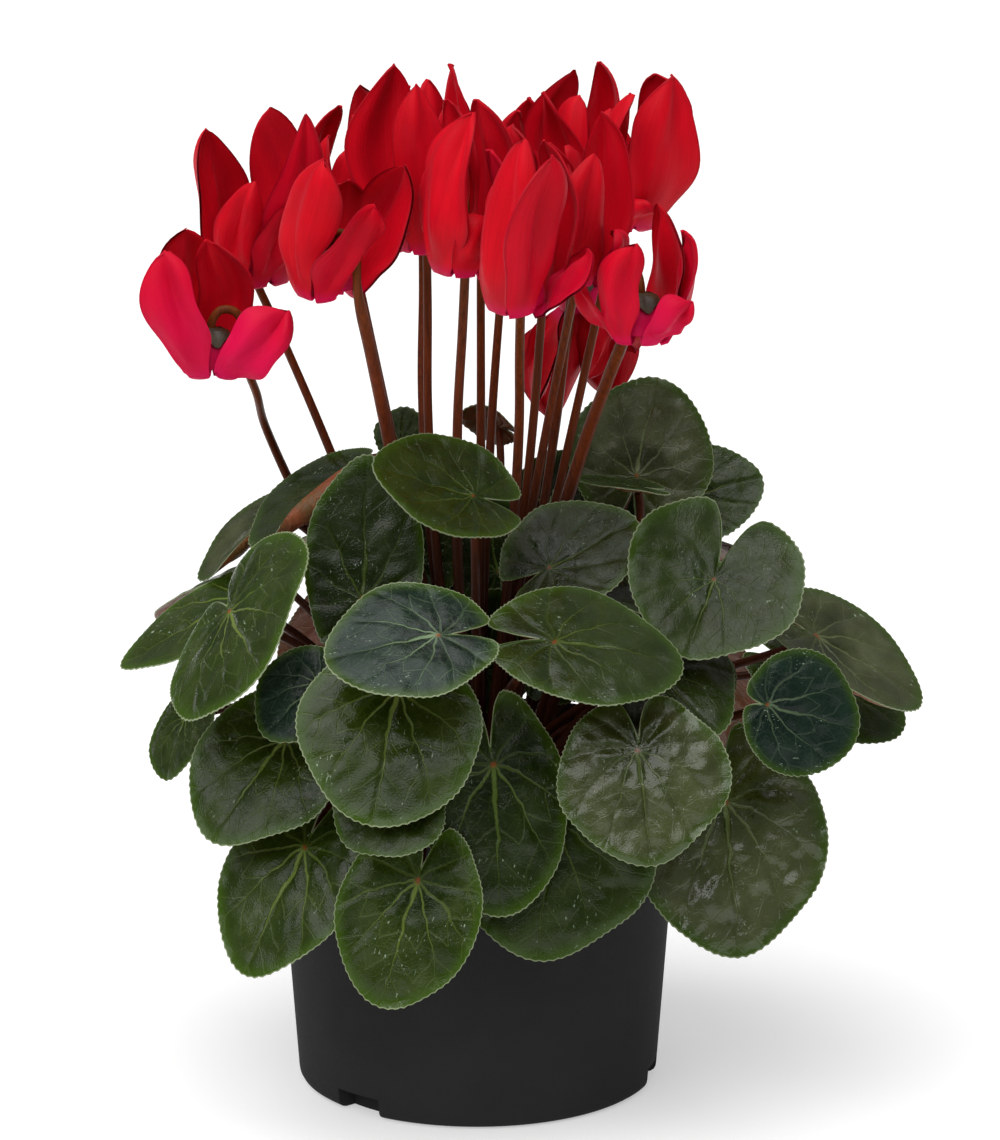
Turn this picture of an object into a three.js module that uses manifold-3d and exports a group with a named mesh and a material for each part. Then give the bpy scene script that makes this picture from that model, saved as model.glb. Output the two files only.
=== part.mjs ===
// A potted cyclamen: nursery pot, compost, crown (tuber with all stalks), leaf blades, corollas.
// Millimetres, +Z up, pot standing on z = 0 with its axis on the origin, front toward -Y.
import * as THREE from 'three';
import * as BufferGeometryUtils from 'three/addons/utils/BufferGeometryUtils.js';
import Module from 'manifold-3d';

// ---- driving dimensions -------------------------------------------------------------------
const POT = { height: 95, baseRadius: 51.5, neckRadius: 57.6, rimRadius: 60, rimDepth: 9,
  wall: 1.2, floor: 1.6, sides: 30 };
const NOTCH = { azimuths: [-131, -11, 109], halfAngle: 8.5, height: 6, innerRadius: 45.6, lining: 1.4 };
const DRAIN = { count: 4, ring: 33, radius: 4 };
const CLEAR = 0.3;                                   // gap kept between pieces that touch
const COMPOST = { bottom: 1.9, top: 85, relief: 1.6, sides: 18 };
const TUBER = { radius: 20, top: 92, bottom: 73, sides: 14 };
const BLADE = { thickness: 0.84, outline: 20, tooth: 0.9, wave: 1.1 };
const LEAF_STALK = { radius: 1.35, sides: 5, endGap: 1.7 };
const FLOWER_STALK = { radius: 1.6, sides: 5 };
const CUP = { mouth: 6, top: 4.2, height: 8.4, wall: 1.1, sides: 6 };
const PETAL = { thickness: 1.2, edge: 0.7, roots: [62, 121, 180, 239, 298] };
const CALYX = { radius: 5, height: 1.5, base: 8.9 };

// Leaf blades: place = where the stalk meets the blade, tip = from there to the blade's tip,
// face = the way the upper side looks, wide = width factor, cup = how far the edge rises (+) or
// droops (-) in mm, fold = how far the sides lift beside the midrib in mm, lobes = growth of the back
// lobes, curl = how far one side is rolled up in mm (left +, right -), bow = how the middle of the
// leaf stalk is bent aside in mm.
const LEAVES = [
  { place: [-10, -88, 152], tip: [-30, -5, -4], face: [0, -0.55, 0.83], wide: 0.92, cup: -3, fold: 2,
    bow: [4, 0, 14] },
  { place: [-21, -78, 135], tip: [-7, -21, -32], face: [0, -0.8, 0.55], wide: 0.98, cup: -4, fold: 1,
    lobes: -0.3 },
  { place: [4, -68, 111], tip: [3, -11, -40], face: [0.15, -0.95, 0.25], wide: 0.68, cup: -2, fold: 1 },
  { place: [-16, -82, 82], tip: [-10, -9, -32], face: [-0.1, -0.97, 0.25], wide: 0.8, cup: -2, fold: 2 },
  { place: [-47, -60, 85], tip: [-16, -12, -31], face: [-0.5, -0.82, 0.25], wide: 0.8, cup: -2, fold: 2 },
  { place: [-53, -52, 113], tip: [-19, -12, -23], face: [-0.4, -0.8, 0.4], wide: 0.96, cup: -2, fold: 1 },
  { place: [-43, -64, 133], tip: [-14, -5, -13], face: [-0.2, -0.8, 0.55], wide: 1.0, cup: -1, fold: 1 },
  { place: [-67, -50, 149], tip: [9, -34, -7], face: [-0.76, -0.31, 0.57], wide: 1.15, cup: -2, fold: 2 },
  { place: [-66, -17, 144], tip: [-34, 4, -19], face: [-0.4, -0.35, 0.85], wide: 0.54, cup: -2, fold: 2 },
  { place: [-57, 6, 164], tip: [-21, -5, -18], face: [-0.7, -0.3, 0.65], wide: 0.8, cup: -1, fold: 2,
    curl: 9, lobes: -0.5 },
  { place: [-35, -6, 178], tip: [-26, -13, -18], face: [-0.4, -0.2, 0.9], wide: 1.0, cup: 0, fold: 2,
    curl: 11, lobes: -0.45 },
  { place: [-31, -46, 152], tip: [1, 10, 36], face: [-0.05, -1, 0.3], wide: 0.62, cup: 2, fold: 0 },
  { place: [-1, -52, 182], tip: [-26, -6, 9], face: [0, -0.57, 0.82], wide: 0.9, cup: 2, fold: 2 },
  { place: [20, -36, 158], tip: [23, 6, 11], face: [0.1, -0.6, 0.8], wide: 0.95, cup: 1, fold: 2 },
  { place: [65, -42, 156], tip: [-8, -17, -17], face: [0.1, -0.72, 0.7], wide: 1.0, cup: 2, fold: 3,
    lobes: 0.9, bow: [9, 13, 0] },
  { place: [21, -78, 148], tip: [34, 5, -7], face: [0, -0.52, 0.85], wide: 0.86, cup: -3, fold: 1 },
  { place: [47, -53, 134], tip: [19, -14, -14], face: [0.3, -0.6, 0.75], wide: 1.12, cup: -2, fold: 1 },
  { place: [44, -80, 118], tip: [3, -12, -28], face: [0.05, -0.9, 0.42], wide: 1.06, cup: -4, fold: 2,
    bow: [0, 0, -6] },
  { place: [21, -66, 94], tip: [-5, -9, -36], face: [0.05, -0.97, 0.25], wide: 1.05, cup: -2, fold: 1 },
  { place: [68, -52, 96], tip: [4, -14, -40], face: [0.3, -0.9, 0.25], wide: 0.92, cup: -2, fold: 1,
    bow: [0, 0, -6] },
  { place: [79, -62, 126], tip: [26, 8, -9], face: [0.1, -0.93, 0.35], wide: 1.0, cup: -2, fold: 1,
    lobes: -0.55, bow: [8, 12, -9] },
  { place: [95, -16, 133], tip: [31, 3, -19], face: [0.35, -0.42, 0.84], wide: 0.8, cup: -1, fold: 2,
    curl: -9 },
  { place: [92, 2, 119], tip: [30, 0, -17], face: [0.3, -0.7, 0.62], wide: 0.7, cup: -2, fold: 1 },
  { place: [45, 16, 172], tip: [6, 8, 27], face: [0.1, -0.95, 0.3], wide: 1.02, cup: 2, fold: 1 },
  { place: [62, 30, 163], tip: [20, 4, 5], face: [0.3, -0.75, 0.6], wide: 0.95, cup: -1, fold: 1 },
  { place: [45, 0, 172], tip: [-17, -4, 3], face: [0, 0.05, 1], wide: 0.9, cup: 1, fold: 1 },
  { place: [6, 40, 181], tip: [-12, 3, 3], face: [-0.1, 0.7, 0.7], wide: 1.0, cup: -2, fold: 1 },
  { place: [-22, 32, 178], tip: [1, 5, 10], face: [-0.3, -0.6, 0.7], wide: 1.0, cup: 1, fold: 1 },
  { place: [38, -22, 154], tip: [19, -21, -10], face: [0.2, -0.3, 0.9], wide: 0.75, cup: 1, fold: 2,
    lobes: -0.4 },
  { place: [60, -32, 128], tip: [10, -6, -8], face: [0.5, -0.7, 0.5], wide: 1.1, cup: -1, fold: 1 },
  { place: [-81, -28, 113], tip: [-6, -8, -16], face: [-0.75, -0.6, 0.3], wide: 0.9, cup: -1, fold: 1 },
  { place: [-20, -86, 107], tip: [-16, -7, -11], face: [-0.1, -0.7, 0.7], wide: 1.1, cup: -2, fold: 2,
    bow: [-7, 0, 0] },
  // the far side of the mound
  { place: [-64, 40, 141], tip: [-28, 16, -20], face: [-0.5, 0.3, 0.8], wide: 1.0, cup: -2, fold: 1 },
  { place: [-20, 46, 157], tip: [-16, 30, -14], face: [-0.2, 0.5, 0.84], wide: 1.0, cup: -2, fold: 2 },
  { place: [14, 46, 155], tip: [8, 32, -16], face: [0.05, 0.5, 0.85], wide: 0.9, cup: -3, fold: 1 },
  { place: [60, 56, 144], tip: [20, 26, -18], face: [0.4, 0.5, 0.77], wide: 0.9, cup: -2, fold: 2 },
  { place: [76, 30, 140], tip: [30, 14, -19], face: [0.5, 0.25, 0.83], wide: 0.9, cup: -2, fold: 1 },
  { place: [-74, 24, 112], tip: [-16, 8, -30], face: [-0.85, 0.3, 0.4], wide: 0.9, cup: -2, fold: 1 },
  { place: [-34, 68, 122], tip: [-9, 14, -32], face: [-0.5, 0.8, 0.35], wide: 1.0, cup: -2, fold: 1 },
  { place: [20, 76, 122], tip: [4, 12, -34], face: [0.1, 0.95, 0.3], wide: 1.0, cup: -2, fold: 1 },
  { place: [64, 56, 110], tip: [12, 10, -32], face: [0.65, 0.7, 0.3], wide: 0.95, cup: -2, fold: 1 },
];

// Flowers: mouth = centre of the downward mouth, gap = azimuth at which the stalk passes between
// two petals, by = a point the stalk passes on its way up, thick = stalk thickness factor;
// petals = place of the tip beside the mouth, width and roll in degrees, from the gap round.
const FLOWERS = [
  { mouth: [-73, -22, 212], gap: 5, by: [-56, 26, 172], thick: 1,
    petals: [[0, 6, 35, 14, 12], [-7.5, 9, 37, 16, -10], [-12, 4, 31, 14, 20], [-13, -6, 33, 15, 25],
      [22, -6, 16, 14, 60]] },
  { mouth: [-62, 6, 232], gap: 100, by: [-38, 10, 172], thick: 1,
    petals: [[-11, 1, 41, 16, -19], [1, -6, 27, 13, 20], [8.5, -9, 21, 10, 27], [15, -4, 46, 16, -30],
      [4, 9, 46, 15, 45]] },
  { mouth: [-40, -34, 236], gap: -35, by: [-21, -14, 172], thick: 1.45,
    petals: [[20, -2, 35, 18, 16], [5.5, 10, 28, 15, 24], [-5, 8, 23, 13, 24], [-0.5, -7, 37, 18, 14],
      [12, -11, 25, 13, 43]] },
  { mouth: [-16, 46, 241], gap: 90, by: [-15, 10, 172], thick: 1,
    petals: [[-6, 5, 37.5, 12, 24], [-3.5, -5, 36.5, 12, 24], [3, -7, 41, 11, 24],
      [9.5, -4, 45, 10, 58], [10, 7, 36, 10, 50]] },
  { mouth: [-37, 29, 238], gap: 90, by: [-21, 2, 172], thick: 1,
    petals: [[-1, 2, 37, 15, 13], [-4.5, -5.5, 30.5, 10, 24], [2, -8, 27, 13, 24], [4, -6, 37, 15, 40],
      [5, 8, 43, 14, 29]] },
  { mouth: [-14, -12, 245], gap: 90, by: [-13, -8, 172], thick: 1,
    petals: [[-9, 5.5, 49, 18, -30], [-12, -7, 8, 12, 15], [-3, -9, 45, 15, 16], [6.5, -5, 32, 13, 24],
      [5.5, 7, 38, 12, 24]] },
  { mouth: [-3, -38, 243.5], gap: 90, by: [-6, -12, 172], thick: 1.1,
    petals: [[-8, 5, 30.5, 12, 24], [1.5, -6.5, 42.5, 17, 12], [8, -8, 14, 12, 15],
      [7, -3, 32, 14, 50], [4, 8, 44, 13, 20]] },
  { mouth: [12, -64, 238], gap: 90, by: [11, -10, 172], thick: 1.1,
    petals: [[-5.5, 6, 31, 13, 24], [2.5, -7.5, 44.5, 18, 8], [6, -9.5, 41.5, 16, 46],
      [15, -4.5, 16, 13, 56], [8.5, 6, 43, 13, 1]] },
  { mouth: [28, -39, 241], gap: 90, by: [16, -6, 172], thick: 1,
    petals: [[-6, 7, 22, 12, 24], [-5, -5, 27.5, 14, 24], [2.5, -7, 34, 15, 32], [9, -8, 13, 12, 20],
      [4, 5, 43, 14, 29]] },
  { mouth: [8, 34, 239], gap: 90, by: [3, 12, 172], thick: 1,
    petals: [[-7, 4, 36, 12, 0], [-3, -7, 30, 12, 24], [2.5, -7, 32, 12, 24], [6.5, -4, 30.5, 12, 24],
      [6, 5, 38, 14, 24]] },
  { mouth: [20, -13, 248], gap: 90, by: [14, -3, 172], thick: 1,
    petals: [[-7.5, 4.5, 32.5, 15, -11], [-9.5, -3.5, 30, 12, 40], [0.5, -6, 25, 12, 24],
      [3, -5, 23.5, 10, 24], [-1, 4, 39, 13, 15]] },
  { mouth: [31, 28, 243], gap: 100, by: [20, 8, 172], thick: 1,
    petals: [[-5, 3, 43, 16, -18], [-2.5, -5, 37, 12, 24], [7, -6, 33, 13, 24],
      [6.5, -3.5, 29.5, 15, 48], [2.5, 5, 44.5, 14, 14]] },
  { mouth: [40, -1, 249], gap: 90, by: [23, 1, 172], thick: 1,
    petals: [[5, 7, 32.5, 12, 24], [-4, -7, 22, 12, 20], [0, -9, 8.5, 13, 10], [13, -4, 41, 18, -35],
      [10, 5.5, 40, 18, 21]] },
  { mouth: [44, -64, 230], gap: 110, by: [25, -10, 172], thick: 1.45,
    petals: [[-15, 2, 12, 13, 19], [-2.5, -7.5, 25.5, 10, 24], [13, -8.5, 9, 10, 0],
      [9, -1, 27, 14, 25], [2.5, 4.5, 32.5, 18, -21]] },
  { mouth: [30, 58, 212], gap: -110, by: [20, 10, 172], thick: 1,
    petals: [[2, -6, -18, 12, 10], [16, 0, -12.5, 15, 10], [9, 8, -27, 15, 10],
      [-9.5, 7, -34, 17, -20], [-15.5, -3, -27.5, 15, 20]] },
  { mouth: [1, 8, 242], gap: 90, by: [1, 2, 172], thick: 1,
    petals: [[-7, 6, 36, 13, 24], [-2, -6, 33, 12, 24], [4, -7, 34.5, 12, 24], [7.5, -4, 30, 12, 24],
      [3, 5, 32.5, 13, 24]] },
];

// ---- helpers ------------------------------------------------------------------------------
const rad = THREE.MathUtils.degToRad;
const vec = (a) => new THREE.Vector3(a[0], a[1], a[2]);

/** A repeatable random number between -1 and 1. */
function seeded(seed) {
  let s = seed * 2654435761 % 4294967296;
  return () => {
    s = (1664525 * s + 1013904223) % 4294967296;
    return s / 2147483648 - 1;
  };
}

const wasm = await Module();
wasm.setup();

/** Solid from points and triangles. */
function solidFrom(points, triangles) {
  const vertProperties = new Float32Array(points.length * 3);
  points.forEach((p, i) => vertProperties.set([p.x, p.y, p.z], i * 3));
  return new wasm.Manifold(new wasm.Mesh({
    numProp: 3, vertProperties, triVerts: new Uint32Array(triangles.flat()) }));
}

/** Solid from a closed three.js geometry. */
function solidOf(geometry) {
  const plain = geometry.index ? geometry : BufferGeometryUtils.mergeVertices(geometry);
  plain.deleteAttribute('normal');
  plain.deleteAttribute('uv');
  const welded = BufferGeometryUtils.mergeVertices(plain, 1e-4);
  const at = welded.getAttribute('position');
  const points = Array.from({ length: at.count }, (_, i) => new THREE.Vector3().fromBufferAttribute(at, i));
  const tris = [];
  for (let i = 0; i < welded.index.count; i += 3) {
    const t = [0, 1, 2].map((k) => welded.index.getX(i + k));
    if (new Set(t).size === 3) tris.push(t);
  }
  return solidFrom(points, tris);
}

/** Profile of [radius, height] pairs turned about the Z axis. */
function turned(profile, sides) {
  const lathe = new THREE.LatheGeometry(profile.map(([r, h]) => new THREE.Vector2(r, h)), sides);
  lathe.rotateX(Math.PI / 2);
  return solidOf(lathe);
}

/** Named mesh with its own material from a solid. */
function meshOf(name, solid, colour, roughness) {
  const { vertProperties, triVerts, numProp } = solid.getMesh();
  const at = new Float32Array(vertProperties.length / numProp * 3);
  for (let i = 0; i < at.length / 3; i += 1) {
    for (let k = 0; k < 3; k += 1) at[3 * i + k] = vertProperties[numProp * i + k];
  }
  const geometry = new THREE.BufferGeometry();
  geometry.setAttribute('position', new THREE.BufferAttribute(at, 3));
  geometry.setIndex(new THREE.BufferAttribute(new Uint32Array(triVerts), 1));
  geometry.computeVertexNormals();
  const material = new THREE.MeshStandardMaterial({ color: colour, roughness, metalness: 0 });
  const mesh = new THREE.Mesh(geometry, material);
  mesh.name = name;
  return mesh;
}

/** Faces joining rings of equal size, with flat caps fanned from each ring's first point. */
function skin(rings) {
  const n = rings[0].length;
  const tris = [];
  for (let j = 0; j + 1 < rings.length; j += 1) {
    for (let i = 0; i < n; i += 1) {
      const a = j * n + i, b = j * n + (i + 1) % n;
      tris.push([a, b, b + n], [a, b + n, a + n]);
    }
  }
  const last = (rings.length - 1) * n;
  for (let i = 1; i + 1 < n; i += 1) {
    tris.push([0, i + 1, i], [last, last + i, last + i + 1]);
  }
  return solidFrom(rings.flat(), tris);
}

/** Round stalk along points with a radius at each; its end can be cut square to a given direction. */
function stalk(path, radii, sides, ending) {
  let side = new THREE.Vector3(1, 0, 0);
  const last = path.length - 1;
  const rings = path.map((p, i) => {
    const along = path[Math.min(i + 1, last)].clone().sub(path[Math.max(i - 1, 0)]).normalize();
    if (i === last && ending) along.copy(ending);
    side = side.clone().addScaledVector(along, -side.dot(along)).normalize();
    const other = along.clone().cross(side);
    return Array.from({ length: sides }, (_, k) => {
      const a = 2 * Math.PI * k / sides;
      return p.clone().addScaledVector(side, radii[i] * Math.cos(a))
        .addScaledVector(other, radii[i] * Math.sin(a));
    });
  });
  return skin(rings);
}

// ---- pot and compost ----------------------------------------------------------------------
/** Wedge between two radii, round about an azimuth, from z0 to z1. */
function wedge(azimuth, halfAngle, r0, r1, z0, z1) {
  const corner = (r, a) => [r * Math.cos(rad(a)), r * Math.sin(rad(a))];
  const foot = [corner(r0, azimuth - halfAngle), corner(r1, azimuth - halfAngle),
    corner(r1, azimuth + halfAngle), corner(r0, azimuth + halfAngle)];
  return skin([z0, z1].map((z) => foot.map(([x, y]) => new THREE.Vector3(x, y, z))));
}

function notchWedge(azimuth, grow, z0) {
  const wide = NOTCH.halfAngle + grow * 180 / Math.PI / POT.baseRadius;
  return wedge(azimuth, wide, NOTCH.innerRadius - grow, POT.rimRadius, z0, NOTCH.height + grow);
}

function buildPot() {
  const { height, baseRadius, neckRadius, rimRadius, rimDepth, wall, floor, sides } = POT;
  const outside = [[0, 0], [baseRadius - 2.9, 0], [baseRadius - 0.9, 0.9], [baseRadius, 3],
    [neckRadius, height - rimDepth], [rimRadius, height - rimDepth + 1.6], [rimRadius, height]];
  const inside = [[rimRadius - wall, height], [rimRadius - wall, height - rimDepth + 2.6],
    [neckRadius - wall, height - rimDepth + 0.6], [baseRadius - wall, 3.6],
    [baseRadius - 3.2, floor], [0, floor]];
  const full = turned([...outside, [0, height]], sides);
  let pot = turned([...outside, ...inside], sides);
  for (const azimuth of NOTCH.azimuths) {
    pot = pot.add(notchWedge(azimuth, NOTCH.lining, 0.4).intersect(full));
    pot = pot.subtract(notchWedge(azimuth, 0, -1));
  }
  for (let i = 0; i < DRAIN.count; i += 1) {
    const a = 2 * Math.PI * (i + 0.5) / DRAIN.count;
    const drill = new THREE.CylinderGeometry(DRAIN.radius, DRAIN.radius, 8, 7);
    drill.rotateX(Math.PI / 2).translate(DRAIN.ring * Math.cos(a), DRAIN.ring * Math.sin(a), 0);
    pot = pot.subtract(solidOf(drill));
  }
  return pot;
}

/** Half outline of the tuber, grown by a clearance. */
function tuberProfile(grow) {
  const { radius, top, bottom } = TUBER;
  const h = top - bottom;
  return [[0, bottom - grow], [radius * 0.62 + grow, bottom + 0.06 * h - grow],
    [radius + grow, bottom + 0.42 * h], [radius * 0.88 + grow, bottom + 0.78 * h],
    [radius * 0.5 + grow, top - 0.02 * h + grow], [0, top + grow]];
}

function buildCompost() {
  const random = seeded(7);
  const { bottom, top, relief, sides } = COMPOST;
  const gap = POT.wall + CLEAR + 0.35;
  const slope = (POT.neckRadius - POT.baseRadius) / (POT.height - POT.rimDepth - 3);
  const outerAt = (z) => POT.baseRadius + slope * (z - 3) - gap;
  const levels = [[POT.baseRadius - 4.6, bottom], [outerAt(5), 5], [outerAt(top - 1), top - 1],
    [42, top], [30, top], [23, top]];
  const rings = levels.map(([r, z], j) => Array.from({ length: sides }, (_, i) => {
    const a = 2 * Math.PI * i / sides;
    return new THREE.Vector3(r * Math.cos(a), r * Math.sin(a), z + (j > 2 ? relief * random() : 0));
  }));
  let compost = skin(rings).subtract(turned([...tuberProfile(1.4 * CLEAR).slice(0, 3),
    [TUBER.radius + 0.8, top + 9], [0, top + 9]], TUBER.sides));
  for (const azimuth of NOTCH.azimuths) {
    compost = compost.subtract(notchWedge(azimuth, NOTCH.lining + CLEAR, 0));
  }
  return compost;
}

// ---- leaves -------------------------------------------------------------------------------
/** Frame of a leaf: midrib direction, side, upper normal and length. */
function leafFrame(leaf) {
  const tip = vec(leaf.tip);
  const along = tip.clone().normalize();
  const face = vec(leaf.face);
  const up = face.addScaledVector(along, -face.dot(along)).normalize();
  return { along, up, side: up.clone().cross(along), length: tip.length() };
}

/** Outline radius from the stalk's place at an angle from the midrib, for unit length. */
function leafRadius(angle) {
  const notch = 1 - Math.exp(-(((180 - Math.abs(angle)) / 15) ** 2));
  return (0.74 + 0.24 * Math.cos(rad(angle)) + 0.04 * Math.cos(rad(2 * angle))) * notch;
}

/** Blade of one leaf: a centre point, one ring and a toothed outline, alike on both faces. */
function buildBlade(leaf, index) {
  const { along, up, side, length } = leafFrame(leaf);
  const random = seeded(index + 11);
  const phase = Math.PI * random();
  const n = BLADE.outline;
  const centre = new THREE.Vector2(0.3 * length, 0);
  const outline = Array.from({ length: n }, (_, i) => {
    const angle = -173 + 346 * i / (n - 1);
    const back = 1 + (leaf.lobes ?? 0) * (1 - Math.cos(rad(angle))) / 2;
    const tooth = Math.abs(angle) < 165 ? BLADE.tooth * (i % 2 ? 1 : -1) : 0;
    const r = length * leafRadius(angle) * back + tooth;
    return new THREE.Vector2(r * Math.cos(rad(angle)), r * leaf.wide * Math.sin(rad(angle)));
  });
  const flat = [centre, ...outline.filter((_, i) => i % 2 === 0).map((p) => p.clone().lerp(centre, 0.46)),
    ...outline];
  const height = (p) => {
    const reach = Math.hypot(p.x - centre.x, p.y) / length;
    const bearing = Math.atan2(p.y, p.x - centre.x);
    const rolled = Math.max(0, Math.sign(leaf.curl ?? 0) * p.y / length - 0.15) ** 2 * 3.4;
    return leaf.cup * reach ** 2 + leaf.fold * Math.abs(p.y) / length + rolled * Math.abs(leaf.curl ?? 0)
      + BLADE.wave * reach ** 3 * Math.sin(3 * bearing + phase)
      - (leaf.cup * 0.09 + BLADE.wave * 0.027 * Math.sin(phase + 3 * Math.PI));
  };
  const origin = vec(leaf.place);
  const points = [0.5, -0.5].flatMap((half) => flat.map((p) => origin.clone()
    .addScaledVector(along, p.x).addScaledVector(side, p.y)
    .addScaledVector(up, height(p) + half * BLADE.thickness)));
  const m = n / 2, below = flat.length;
  const tris = [];
  const both = (a, b, c) => tris.push([a, b, c], [below + a, below + c, below + b]);
  for (let i = 0; i < m; i += 1) {
    const ring = 1 + i, next = 1 + (i + 1) % m;
    const rim = 1 + m + 2 * i, mid = rim + 1, end = 1 + m + (2 * i + 2) % n;
    both(0, ring, next);
    both(ring, rim, mid);
    both(ring, mid, next);
    both(next, mid, end);
    for (const [a, b] of [[rim, mid], [mid, end]]) {
      tris.push([a, below + a, below + b], [a, below + b, b]);
    }
  }
  return solidFrom(points, tris);
}

/** Leaf stalk from the tuber to just under the blade. */
function buildLeafStalk(leaf, index) {
  const { along, up } = leafFrame(leaf);
  const place = vec(leaf.place);
  const arrive = along.clone().multiplyScalar(0.42).addScaledVector(up, 0.9).normalize();
  const end = place.clone().addScaledVector(arrive, -LEAF_STALK.endGap);
  const bearing = Math.atan2(place.y, place.x);
  const out = new THREE.Vector3(Math.cos(bearing), Math.sin(bearing), 0);
  const row = index % 3;
  const start = out.clone().multiplyScalar(10.5 + 3.5 * row).setZ(TUBER.top - 2 - 1.5 * row);
  const reach = end.distanceTo(start);
  const bow = vec(leaf.bow ?? [0, 0, 0]);
  const low = end.z < 120;
  const first = start.clone().addScaledVector(out, reach * (low ? 0.22 : 0.1)).add(bow);
  first.z += low ? 30 : 0.45 * (end.z - start.z);
  const second = end.clone().addScaledVector(arrive, -Math.min(0.35 * reach, low ? 14 : 20)).add(bow);
  if (low) second.z += 0.5 * (120 - end.z);
  const curve = new THREE.CubicBezierCurve3(start, first, second, end);
  const path = curve.getPoints(low ? 4 : 3);
  const radii = path.map((_, i) => LEAF_STALK.radius * (1.12 - 0.07 * i));
  return stalk(path, radii, LEAF_STALK.sides, arrive);
}

// ---- flowers ------------------------------------------------------------------------------
/** Turns a point given beside the mouth into the part's frame. */
function flowerPlacer(flower) {
  const mouth = vec(flower.mouth);
  return (p) => p.clone().add(mouth);
}

/** One petal from inside the cup's lip, round its bend, to the tip. */
function buildPetal(azimuth, [x, y, z, width, roll], place) {
  const out = new THREE.Vector3(Math.cos(rad(azimuth)), Math.sin(rad(azimuth)), 0);
  const tip = new THREE.Vector3(x, y, z);
  const rise = Math.sign(z);
  const at = (r, h) => out.clone().multiplyScalar(r).setZ(h);
  const bend = at(CUP.mouth + 1.1, -1.2);
  const knee = at(CUP.mouth + 3.6, rise > 0 ? 3.6 : -5);
  const tail = tip.clone().lerp(knee, 0.42).addScaledVector(out, 3);
  const rim = new THREE.CubicBezierCurve3(bend, knee, tail, tip);
  const path = [at(CUP.mouth - CUP.wall / 2, 1.7), bend, rim.getPoint(0.42), rim.getPoint(0.78), tip];
  const widths = [0.32, 0.4, 0.76, 0.7, 0].map((w) => w * width);
  const rings = path.map((p, i) => {
    const before = path[Math.max(i - 1, 0)], after = path[Math.min(i + 1, path.length - 1)];
    const along = after.clone().sub(before).normalize();
    const wide = new THREE.Vector3(0, 0, 1).cross(out).normalize();
    wide.addScaledVector(along, -wide.dot(along)).normalize();
    wide.applyAxisAngle(along, rad(roll) * Math.min(1, i / 2) * rise);
    const thick = along.clone().cross(wide);
    const half = widths[i] / 2, bulge = 0.3 * half * (i > 1 ? 1 : 0.3);
    const spot = (w, t) => place(p.clone().addScaledVector(wide, w).addScaledVector(thick, t));
    const t = PETAL.thickness / 2, e = PETAL.edge / 2;
    if (half === 0) return [spot(0, -e), spot(0, e)];
    return [spot(-half, -e), spot(0, -t - bulge), spot(half, -e), spot(half, e), spot(0, t - bulge),
      spot(-half, e)];
  });
  return skinPetal(rings);
}

/** Skin of six-point petal rings that close on a two-point tip. */
function skinPetal(rings) {
  const tris = [[0, 5, 4], [0, 4, 1], [1, 4, 3], [1, 3, 2]];
  for (let j = 0; j + 2 < rings.length; j += 1) {
    for (let i = 0; i < 6; i += 1) {
      const a = j * 6 + i, b = j * 6 + (i + 1) % 6;
      tris.push([a, b, b + 6], [a, b + 6, a + 6]);
    }
  }
  const z = (rings.length - 2) * 6, lower = z + 6, upper = z + 7;
  tris.push([z, z + 1, lower], [z + 1, z + 2, lower], [z + 2, z + 3, upper], [z + 2, upper, lower],
    [z + 3, z + 4, upper], [z + 4, z + 5, upper], [z + 5, z, lower], [z + 5, lower, upper]);
  return solidFrom(rings.flat(), tris);
}

/** The corolla: cup, cone of anthers with the style, and five petals in one body. */
function buildCorolla(flower) {
  const { mouth, top, height, wall, sides } = CUP;
  const place = flowerPlacer(flower);
  const shape = (profile, n) => {
    const rings = profile.map(([r, h]) => Array.from({ length: n }, (_, k) => place(new THREE.Vector3(
      r * Math.cos(2 * Math.PI * k / n), r * Math.sin(2 * Math.PI * k / n), h))));
    return skin(rings);
  };
  let corolla = shape([[mouth, 0], [top, height]], sides)
    .subtract(shape([[mouth - wall + 0.4, -1], [top - wall, height - wall]], sides));
  corolla = corolla.add(shape([[0.4, -0.6], [2, height - wall + 0.4]], 4));
  flower.petals.forEach((petal, i) => {
    corolla = corolla.add(buildPetal(flower.gap + PETAL.roots[i], petal, place));
  });
  return corolla;
}

/** Flower stalk from the tuber through its way point, over the hook, down to the calyx. */
function buildFlowerStalk(flower) {
  const place = flowerPlacer(flower);
  const out = new THREE.Vector3(Math.cos(rad(flower.gap)), Math.sin(rad(flower.gap)), 0);
  const at = (r, h) => place(out.clone().multiplyScalar(r).setZ(h));
  const by = vec(flower.by);
  const bearing = Math.atan2(by.y, by.x);
  const spread = Math.min(8, 0.2 * Math.hypot(by.x, by.y));
  const start = new THREE.Vector3(spread * Math.cos(bearing), spread * Math.sin(bearing), TUBER.top - 3);
  const neck = at(10.6, 2);
  const climb = new THREE.CatmullRomCurve3([start, by, by.clone().lerp(neck, 0.6), neck]).getPoints(4);
  const path = [...climb, at(9.4, 12.6), at(6.2, 16.8), at(2, 16.6), at(0, 13), at(0, CALYX.base + 0.4)];
  const slim = FLOWER_STALK.radius * flower.thick;
  const radii = path.map((_, i) => (i < climb.length - 1 ? slim : FLOWER_STALK.radius)
    * (i < 2 ? 1.15 : 1));
  const star = (r, h) => Array.from({ length: 5 }, (_, k) => place(
    new THREE.Vector3(r * Math.cos(0.4 * Math.PI * k), r * Math.sin(0.4 * Math.PI * k), h)));
  const cap = skin([star(CALYX.radius, CALYX.base), star(CALYX.radius * 0.42, CALYX.base + CALYX.height)]);
  return stalk(path, radii, FLOWER_STALK.sides).add(cap);
}

// ---- the part -----------------------------------------------------------------------------
const label = (word, i) => `${word}_${String(i + 1).padStart(2, '0')}`;

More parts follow.
